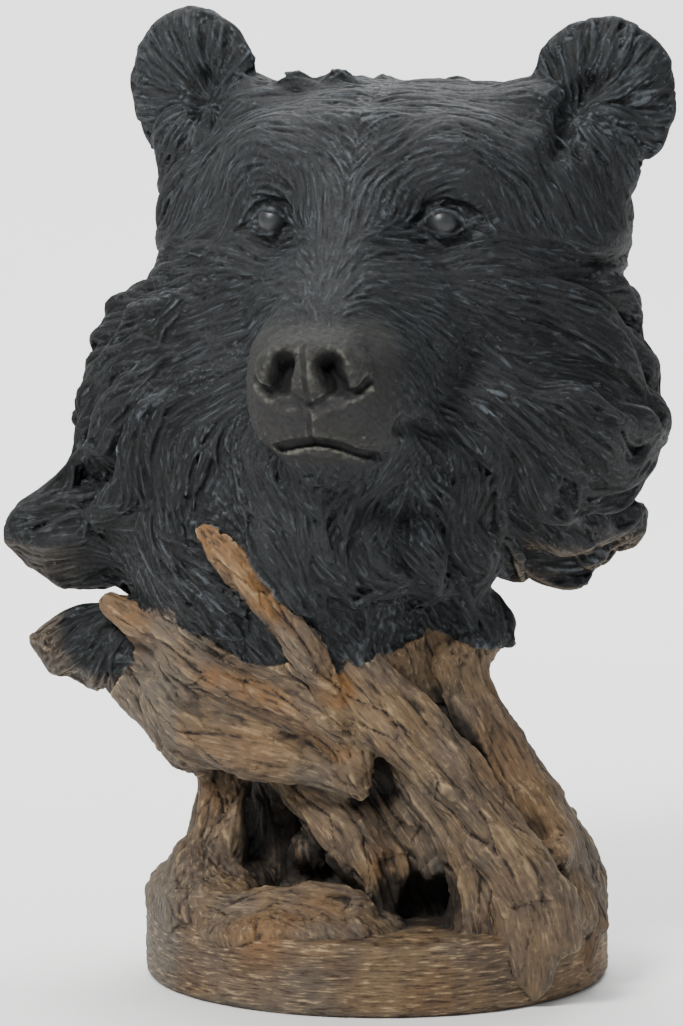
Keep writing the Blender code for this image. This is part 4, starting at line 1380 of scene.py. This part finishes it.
# %% [markdown]
# ## Where the paint and the painted shade settle
#
# A dark wash runs into the hollows and a dry brush catches the ridges. Both are read from the
# form: a smoothed copy of the skin is made, and a point that lies above it is proud, one below it
# is sunk. Read over broader forms, the same gives painted light and shade: broad proud forms are
# painted lighter, and broad hollows and deep caves darker, as painted shade. Deep caves are found
# by how open a spot is: rays go out from it in many directions, and the share that meets nothing
# nearby is kept.

# %% How open each spot is
# how open a spot is sets the painted shade: the less open, the darker its paint
OPEN_STEP, OPEN_REACH, OPEN_RAYS, OPEN_SPREAD, OPEN_LIFT = 2.6, 34, 14, 0.97, 0.4


def openness(obj):
    """The share of rays over the outward side of each point that meet nothing within reach."""
    points, outward = read(obj)
    tree = tree_of(obj)
    k = np.arange(OPEN_RAYS) + 0.5
    rise, turn = 1 - 2 * k / OPEN_RAYS, math.pi * (1 + math.sqrt(5)) * k
    level = np.sqrt(1 - rise**2)
    sphere = np.column_stack([level * np.cos(turn), level * np.sin(turn), rise])
    ways = unit_rows(outward[:, None] + OPEN_SPREAD * sphere)
    starts = np.broadcast_to((points + OPEN_LIFT * outward)[:, None], ways.shape)
    rays = zip(starts.reshape(-1, 3).tolist(), ways.reshape(-1, 3).tolist())
    free = np.array([tree.ray_cast(start, way, OPEN_REACH)[0] is None for start, way in rays])
    return free.reshape(-1, OPEN_RAYS).mean(1)


coarse = fused("coarse", skin, OPEN_STEP, 2)
store(coarse.data, "grain", evened(coarse, np.repeat(openness(coarse)[:, None], 4, axis=1), 2))
forget(skin.data, "grain")
open_share = take_tags(skin, coarse)[:, 0]
scrap(coarse)
print("openness, tenth and median:", np.percentile(open_share, (10, 50)).round(2))

# %% Proud and sunk
CLOSE_PASSES, BROAD_PASSES = 10, 70
FUR_SHARE, WOOD_SHARE = 0.47, 0.52
# painted shade: the mane and the cheeks are painted darker, as sides turned from the light; the ears
# are painted lighter
MANE_PAINTED_SHADE, EARS_LIGHTER, CHEEK_PAINTED_SHADE = 0.1, 0.12, 0.13
# how much painted shade the caves get, and how much more of it on the wood
CAVE_PAINTED_SHADE, CAVE_PAINTED_SHADE_ON_WOOD = 0.35, 0.15

close_skin, _ = smooth_copy(CLOSE_PASSES)
broad_skin, facing = smooth_copy(BROAD_PASSES)
near_form = ((points - close_skin) * outward).sum(-1)
wide_form = ((points - broad_skin) * facing).sum(-1)
in_mane = eased(0.9, 1.3, face_reach(head))
cheek_in_shade = eased(25, 50, np.abs(head[:, 0])) * eased(-8, -32, head[:, 2])
fine_share = (
    FUR_SHARE - MANE_PAINTED_SHADE * in_mane + 0.17 * near_form / near_form[hairy].std() + 0.8 * tone
)
fine_share += EARS_LIGHTER * eased(1.2, 0.9, ear_reach(head))
# painted shade on the cheeks
fine_share -= CHEEK_PAINTED_SHADE * cheek_in_shade
fine_share = 0.5 + (fine_share - 0.5) * (1 - 0.5 * snout * (1 - muzzle))
fine_share = np.where(woody | footing, WOOD_SHARE + 0.5 * tone + near_form / 1.9, fine_share)
fine_share = np.clip(fine_share, 0, 1)
# painted shade in the caves, and painted light and shade over the broad form: broad proud forms
# lighter, broad hollows darker
cave = (CAVE_PAINTED_SHADE + CAVE_PAINTED_SHADE_ON_WOOD * woody) * eased(0.8, 0.3, open_share)
broad_light_and_shade = np.clip(0.5 + wide_form / 3.5 - cave, 0, 1)
print("spread of the form, fine and wide:", near_form.std().round(3), wide_form.std().round(3))

# %% Where each paint lies
def spot(at, radii):
    """1 at a place, fading to 0 at about its radii."""
    return np.exp(-(((points - at) / radii) ** 2).sum(-1) * 1.5)


def along_root(name, width):
    near = np.full(len(points), np.inf)
    for at in root_line(name, 3):
        near = np.minimum(near, np.linalg.norm(points - at, axis=1))
    return eased(width, 0.6 * width, near)


def on_front(route, width):
    """1 along a route of (x, z) on the muzzle's front, and 0 beyond about 0.7 of the width."""
    line = np.array([(x, 0, z) for x, z in route])
    return eased(0.25, 0.55, stroke_rise(head * (1, 0, 1), line, width, 1.0)) * (head[:, 1] < -76)


# bare wood shows under the upper flare, along the lower one's torn edge, and under the mane's
# right side
x, _, z = points.T
down = facing[:, 2]
raw_edge = eased(-0.3, -0.6, down) * eased(-92, -104, x) * eased(130, 120, z)
raw_lobe = eased(-0.4, -0.7, down) * eased(40, 50, x) * eased(124, 116, z)
raw_fan = eased(13, 19, np.hypot(x + 87, z - 90)) * (x < LEFT_FLARE) * (z < 99)
under = np.maximum(np.maximum(0.5 * raw_edge, raw_fan), raw_lobe * eased(70, 90, z))
wood_share = np.clip(np.where(woody | footing, 1.0, under), 0, 1)

warm = along_root("strip", 7) + 0.8 * along_root("shelf_rim", 8) + spot((-36, -58, 0), (14, 12, 8))
warm = np.clip(warm + 0.35 * eased(0.52, 0.75, noise(points / 18 + 7)), 0, 1)
# grey patches of the paint, and painted shade: faces that look down are painted greyer
grey_and_underside_shade = spot((-15, -60, 0), (8, 7, 6)) + spot((62, -30, 20), (12, 16, 14)) + eased(-84, -100, x)
grey_and_underside_shade = grey_and_underside_shade + 0.7 * eased(0.5, 0.75, noise(points / 22 + 13)) + 0.5 * eased(0.1, -0.7, down)
grey_and_underside_shade = np.clip(grey_and_underside_shade + 0.7 * spot((-62, -30, 4), (12, 14, 16)) + 0.8 * under, 0, 1)

nostrils = np.maximum(on_front(nostril(-1), 6.3), on_front(nostril(1), 6.3))
marked = np.where(footing, 1.0, nostrils)
seed = np.where(stranded, own_seed, chip_seed)
HELD = {
    # attribute of the skin: its four numbers at each point
    "look": np.column_stack([fine_share, broad_light_and_shade, muzzle * (1 - wood_share), wood_share]),
    "lot": np.column_stack([seed, warm, grey_and_underside_shade, marked]),
    "way": np.column_stack([0.5 + 0.5 * brush_way, open_share]),
}
print("share painted as wood:", wood_share.mean().round(3))

# %% [markdown]
# ## Thinning and parting
#
# The skin has far more triangles than it needs. The collapse modifier spends them where the form
# turns sharply. It is then parted by planes into seven closed pieces, small enough for each to
# keep all its triangles. The real casting has no such seams. They are hidden by giving the points
# on both sides of a plane the paint and the outward direction of the uncut skin.

# %% Thin the skin
TRIANGLES = 930_000
BOX_GAP = 0.02


def triangles_in(obj):
    sizes = np.empty(len(obj.data.polygons), np.int32)
    obj.data.polygons.foreach_get("loop_total", sizes)
    return int(sizes.sum() - 2 * len(sizes))


def kept_in_box(points):
    """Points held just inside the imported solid's box."""
    low, high = (np.array(corner) / UNIT - (0, 0, FOOT_HEIGHT) for corner in (cad_low, cad_high))
    return np.clip(points, low + BOX_GAP, high - BOX_GAP)


write(skin, kept_in_box(points))
forget(skin.data, "grain")
for name, values in HELD.items():
    store(skin.data, name, values)
store(skin.data, "way_out", np.column_stack([read(skin)[1], np.ones(len(points))]))
before = triangles_in(skin)
if before > TRIANGLES:
    thin = skin.modifiers.new("thin", "DECIMATE")
    thin.ratio = TRIANGLES / before
    settle(skin)
    write(skin, kept_in_box(read(skin)[0]))
print("triangles:", before, "thinned to", triangles_in(skin))

# %% Part it by planes
FAR = 300
HEAD_Z, WOOD_Z = 138, 70
LAYERS = {
    # name: lowest and highest level, and the planes that part it from front to back
    "head": (HEAD_Z, FAR, {"front": (-FAR, -8), "middle": (-8, 34), "back": (34, FAR)}),
    "mane": (WOOD_Z, HEAD_Z, {"front": (-FAR, 14), "back": (14, FAR)}),
    "driftwood": (-FAR, WOOD_Z, {"front": (-FAR, 0), "back": (0, FAR)}),
}
SAME, NEAR_CUT = 1e-3, 2

# %% The box that parts are cut with
def box_object(low, high):
    """A box of triangles from its lowest to its highest corner."""
    corners = np.array([[(low, high)[k >> a & 1][a] for a in range(3)] for k in range(8)], float)
    quads = ((0, 4, 6, 2), (1, 3, 7, 5), (0, 1, 5, 4), (2, 6, 7, 3), (0, 2, 3, 1), (4, 5, 7, 6))
    halves = [half for a, b, c, d in quads for half in ((a, b, c), (a, c, d))]
    return mesh_object("box", corners, np.array(halves))


def on_cut(points, low, high):
    """Which points lie on the planes of a box."""
    near = (np.abs(points - low) < SAME) | (np.abs(points - high) < SAME)
    return near.any(-1)


def mend_cut(part, low, high):
    """Points made by the cut take what the nearest old point holds, so that both sides agree."""
    points, _ = read(part)
    cut = on_cut(points, low, high)
    old, _ = read(skin)
    source = np.flatnonzero(np.abs(old[:, None] - np.array([low, high])).min((1, 2)) < NEAR_CUT)
    tree = KDTree(len(source))
    for k, point in enumerate(old[source].tolist()):
        tree.insert(point, k)
    tree.balance()
    nearest = source[[tree.find(p)[1] for p in points[cut].tolist()]]
    for name in (*HELD, "way_out"):
        values = stored(part.data, name)
        values[cut] = stored(skin.data, name)[nearest]
        store(part.data, name, values)
    shade_smooth(part.data)
    facing = unit_rows(stored(part.data, "way_out")[:, :3])
    part.data.normals_split_custom_set_from_vertices(facing.tolist())
    forget(part.data, "way_out")


def part_of(name, low, high):
    """The share of the skin inside a box, closed where the box cuts it, and in metres."""
    part = placed(name, skin.data.copy())
    knife = box_object(low, high)
    cut = part.modifiers.new("cut", "BOOLEAN")
    cut.operation = "INTERSECT"
    cut.solver = "MANIFOLD"
    cut.object = knife
    settle(part)
    scrap(knife)
    mend_cut(part, low, high)
    part.data.transform(Matrix.Translation((0, 0, FOOT_HEIGHT)))
    part.data.transform(Matrix.Scale(UNIT, 4))
    return part

# %% The seven parts
parts = {}
for layer_name, (bottom, top, spans) in LAYERS.items():
    for where, (near, far) in spans.items():
        name = f"{layer_name}_{where}"
        parts[name] = part_of(name, (-FAR, near, bottom), (FAR, far, top))
        print(name, triangles_in(parts[name]))
scrap(skin)

# %% [markdown]
# ## Paint
#
# The real casting is brushed with charcoal, washed darker in the hollows and dry-brushed in blue
# grey on the ridges of the hair. The driftwood is a warm brown with dark crevices and golden
# edges. One material holds both, and the point attributes say where each belongs. Both also have
# fine threads, which are noise drawn out along the direction that each tuft or chip holds. Painted
# shade darkens the caves, the broad hollows, the mane, the cheeks and the faces that look down, and
# painted light brightens the broad proud forms.

# %% Node helpers
def painted(name, rough):
    """A new material, its node tree and its shader."""
    made = bpy.data.materials.new(name)
    made.use_nodes = True
    shader = made.node_tree.nodes["Principled BSDF"]
    shader.inputs["Roughness"].default_value = rough
    return made, made.node_tree, shader


def fill(socket, value):
    """A number or colour is set, and another socket is joined."""
    if isinstance(value, bpy.types.NodeSocket):
        socket.id_data.links.new(value, socket)
    else:
        socket.default_value = value


def node(tree, kind, *inputs, **settings):
    """Adds a node, fills its first inputs in turn, and those that a setting names."""
    made = tree.nodes.new("ShaderNode" + kind)
    for key, value in settings.items():
        if hasattr(made, key):
            setattr(made, key, value)
        else:
            fill(made.inputs[key], value)
    for socket, value in zip(made.inputs, inputs):
        fill(socket, value)
    return made

# %% Layers of colour
def tree_with(*values):
    """The node tree that the first socket among the values belongs to."""
    return next(value.id_data for value in values if isinstance(value, bpy.types.NodeSocket))


def maths(operation, a, b, clamp=False):
    return node(tree_with(a, b), "Math", a, b, operation=operation, use_clamp=clamp).outputs[0]


def times(a, b, clamp=False):
    return maths("MULTIPLY", a, b, clamp)


def blend(share, a, b, way="MIX"):
    """Colour a towards colour b by share."""
    made = node(tree_with(share, a, b), "Mix", share, data_type="RGBA", blend_type=way)
    fill(made.inputs[6], a)
    fill(made.inputs[7], b)
    return made.outputs[2]


def span(value, low, high, most=1.0, least=0.0):
    """From least to most while the value goes from low to high."""
    inputs = (value, low, high, least, most)
    return node(tree_with(value), "MapRange", *inputs, interpolation_type="SMOOTHSTEP").outputs[0]


def speckle(place, scale, detail=4.0):
    settings = {"Vector": place, "Scale": scale, "Detail": detail, "Roughness": 0.6}
    return node(tree_with(place), "TexNoise", **settings).outputs["Fac"]


def vector(operation, *inputs):
    return node(tree_with(*inputs), "VectorMath", *inputs, operation=operation)


def object_place(tree):
    return node(tree, "TexCoord").outputs["Object"]


def rgb(*bytes_):
    """A screen colour, 0 to 255 a channel, as the linear colour that a shader takes."""
    c = np.array(bytes_, float) / 255
    return (*np.where(c <= 0.04045, c / 12.92, ((c + 0.055) / 1.055) ** 2.4), 1.0)


def coats(base, *over):
    """One coat after another: each a share, and a screen colour or a socket that holds one."""
    for share, colour in over:
        made = isinstance(colour, bpy.types.NodeSocket)
        base = blend(share, base, colour if made else rgb(*colour))
    return base

# %% The statue's paint
COAT, TREE, SHADER = painted("charcoal_and_driftwood", 0.75)
place = object_place(TREE)

# %% Threads along the hair and the grain
def channels(name):
    """The four numbers that the points of the skin hold under a name."""
    held = node(TREE, "Attribute", attribute_name=name)
    apart = node(TREE, "SeparateColor", held.outputs["Color"])
    return (*apart.outputs[:3], held.outputs["Alpha"])


def along_grain(scale, stretch):
    """Noise drawn out along each chip or tuft: most of the place's share that way is taken away."""
    held = node(TREE, "Attribute", attribute_name="way").outputs["Vector"]
    grain_way = vector("MULTIPLY_ADD", held, (2, 2, 2), (-1, -1, -1)).outputs[0]
    along = vector("DOT_PRODUCT", place, grain_way).outputs["Value"]
    lost = vector("SCALE", grain_way)
    fill(lost.inputs["Scale"], times(along, 1 - 1 / stretch))
    return speckle(vector("SUBTRACT", place, lost.outputs[0]).outputs[0], scale, 3.0)


# wide holds the painted light and shade of the broad form and of the caves
fine, wide, on_muzzle, is_wood = channels("look")
seeded, warm_spots, grey_and_shade_spots, is_marked = channels("lot")
patches, blotches, specks, pores = (speckle(place, scale) for scale in (45.0, 130.0, 900.0, 650.0))
scratches = speckle(vector("MULTIPLY", place, (160, 160, 1300)).outputs[0], 1.0)
threads = along_grain(1000.0, 11.0)
off_foot = maths("SUBTRACT", 1.0, is_marked)
# the share for painted light: 1 on broad proud forms, 0 in broad hollows and caves
deep, proud, lit_broad_form = span(fine, 0.15, 0.5), span(fine, 0.55, 0.95), span(wide, 0.35, 0.8)

strand = maths("ADD", 0.5, seeded)
# dry brush, laid on more where painted light falls on broad proud forms
brushed = times(
    times(span(fine, 0.5, 1.0), strand), maths("ADD", 0.4, times(lit_broad_form, 0.2)), clamp=True
)
nose = coats(
    # painted light and shade on the muzzle: lighter on broad proud forms, darker in broad hollows
    blend(lit_broad_form, rgb(20, 20, 20), rgb(60, 60, 54)),
    (span(patches, 0.45, 0.6, 0.6), (38, 36, 38)),
    (times(proud, 0.6), (112, 110, 99)),
    (span(pores, 0.44, 0.62, 0.7), (24, 22, 21)),
)
fur = coats(
    blend(deep, rgb(4, 5, 6), rgb(27, 29, 31)),
    (brushed, (90, 98, 103)),
    (span(threads, 0.5, 0.32, 0.7), (3, 4, 5)),
    (span(threads, 0.53, 0.72, 0.36), (88, 97, 102)),
    (times(on_muzzle, 0.9), nose),
    # painted shade: near black in the deepest broad hollows and caves
    (span(wide, 0.25, 0.05), (4, 4, 5)),
    (is_marked, (3, 3, 3)),
)
pale = coats(
    blend(span(patches, 0.4, 0.62), rgb(78, 65, 52), rgb(102, 83, 60)),
    (span(seeded, 0.5, 1.0, 0.5), (74, 64, 55)),
    (times(warm_spots, 0.7), (120, 84, 44)),
    # grey patches, and painted shade on faces that look down
    (times(grey_and_shade_spots, 0.8), (84, 78, 70)),
    (span(blotches, 0.5, 0.75, 0.6), (62, 50, 40)),
)
timber = coats(
    blend(deep, rgb(34, 27, 22), pale),
    (times(off_foot, span(threads, 0.47, 0.3, 0.65)), (44, 34, 26)),
    (times(off_foot, span(threads, 0.53, 0.72, 0.5)), (148, 126, 96)),
    # golden dry-brushed edges, brighter on broad proud forms as painted light
    (times(proud, times(lit_broad_form, 0.8)), (156, 134, 101)),
    (times(is_marked, span(scratches, 0.5, 0.32)), (52, 38, 27)),
    (times(is_marked, span(scratches, 0.54, 0.7, 0.8)), (160, 136, 104)),
    # painted shade: dark brown in broad hollows and caves
    (span(wide, 0.45, 0.1, 0.9), (16, 13, 11)),
)
speckled = blend(specks, rgb(0, 0, 0), rgb(255, 255, 255))
colour = blend(0.2, blend(is_wood, fur, timber), speckled, "SOFT_LIGHT")
height = maths("ADD", specks, times(threads, 1.5))
bump = node(TREE, "Bump", Strength=0.35, Distance=0.0004, Height=height)
finish = {
    "Base Color": colour,
    "Roughness": span(specks, 0.3, 0.7, 0.82, 0.62),
    "Specular IOR Level": 0.3,
    "Normal": bump.outputs[0],
}
for name, value in finish.items():
    fill(SHADER.inputs[name], value)
print("the coat has", len(TREE.nodes), "nodes")

# %% The eyes
EYE_COAT, eye_tree, eye_shader = painted("eye_gloss_grey", 0.45)
tint = speckle(object_place(eye_tree), 300.0)
fill(eye_shader.inputs["Base Color"], blend(tint, rgb(22, 24, 26), rgb(42, 45, 47)))
fill(eye_shader.inputs["Coat Weight"], 0.05)
fill(eye_shader.inputs["Coat Roughness"], 0.2)


def eyeball(name, side):
    points, faces, _ = moved(ball(EYE_AT * (side, 1, 1), (EYE_RADIUS,) * 3, sides=48), in_bust)
    return mesh_object(name, (points + (0, 0, FOOT_HEIGHT)) * UNIT, faces)


for name, side in (("eye_left", -1), ("eye_right", 1)):
    eye = eyeball(name, side)
    eye.data.materials.append(EYE_COAT)
    shade_smooth(eye.data)
    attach(eye, "root")

for name, part in parts.items():
    part.data.materials.clear()
    part.data.materials.append(COAT)
    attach(part, "root")
    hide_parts("bear_statue")

# %% [markdown]
# ## The studio
#
# A pale floor that curves up into a backdrop far behind, a key light from the upper left in front,
# two weaker ones that keep the dark coat readable, and a strong one on the backdrop. The camera
# stands where the photographer's did: its long lens is read off the photo in pixels.

# %% Floor and sky
def sweep():
    """A floor that bends up into a wall: a flat run, a quarter circle, and a straight rise."""
    bend, radius, half_width = 1.2, 0.8, 3.5
    turn = np.linspace(0, np.pi / 2, 24)
    y = np.concatenate([[-4.0], bend + radius * np.sin(turn), [bend + radius]])
    z = np.concatenate([[0.0], radius * (1 - np.cos(turn)), [3.5]])
    rows = np.stack(
        [np.column_stack([np.full(len(y), x), y, z]) for x in (-half_width, half_width)]
    )
    i = np.arange(len(y) - 1)
    left, right = i, i + len(y)
    corners = ((left, right, right + 1), (left, right + 1, left + 1))
    return rows.reshape(-1, 3), np.vstack([np.column_stack(three) for three in corners])


floor = mesh_object("floor", *sweep())
shade_smooth(floor.data)
FLOOR_COAT, floor_tree, floor_shader = painted("studio_floor", 0.8)
mottle = speckle(object_place(floor_tree), 6.0)
fill(floor_shader.inputs["Base Color"], blend(mottle, rgb(238, 238, 237), rgb(243, 243, 242)))
floor.data.materials.append(FLOOR_COAT)
floor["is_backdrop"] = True

SKY_COLOUR, SKY_STRENGTH = (0.86, 0.9, 0.95, 1), 0.37
world = bpy.data.worlds.new("studio")
world.use_nodes = True
for socket, value in zip(world.node_tree.nodes["Background"].inputs, (SKY_COLOUR, SKY_STRENGTH)):
    fill(socket, value)
bpy.context.scene.world = world

# %% Lights
def light(name, at, towards, size, watts, colour=(1, 1, 1)):
    data = bpy.data.lights.new(name, "AREA")
    data.size, data.energy, data.color = size, watts, colour
    lamp = placed(name, data)
    lamp.location = at
    lamp.rotation_euler = (Vector(towards) - Vector(at)).to_track_quat("-Z", "Y").to_euler()


light("key", (-0.64, -0.85, 1.25), (0, 0, 0.2), 0.45, 32, (1.0, 0.99, 0.97))
light("fill", (1.1, -0.9, 0.6), (0, 0, 0.17), 0.9, 2, (0.93, 0.96, 1.0))
light("rim", (0.5, 1.1, 0.9), (0, 0, 0.2), 0.7, 5)
light("backdrop", (0, 0.9, 2.4), (0, 2.0, 0.9), 1.6, 110)

# %% Camera
CAMERA_AT, CAMERA_DIP = (-0.0116, -1.40, 0.298), math.radians(6.055)
SENSOR, FOCAL_PIXELS, PHOTO_TALL_PIXELS = 36, 4364, 1026
camera = placed("camera", bpy.data.cameras.new("camera"))
camera.data.lens = FOCAL_PIXELS * SENSOR / PHOTO_TALL_PIXELS
camera.location = CAMERA_AT
camera.rotation_euler = (math.pi / 2 - CAMERA_DIP, 0, 0)
bpy.context.scene.camera = camera

# %% Sizes
visual_low, visual_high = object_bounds()
sizes = {"cad": [list(cad_low), list(cad_high)], "visual": [list(visual_low), list(visual_high)]}
print("visual box, mm:", [round(1000 * v, 1) for v in (*visual_low, *visual_high)])
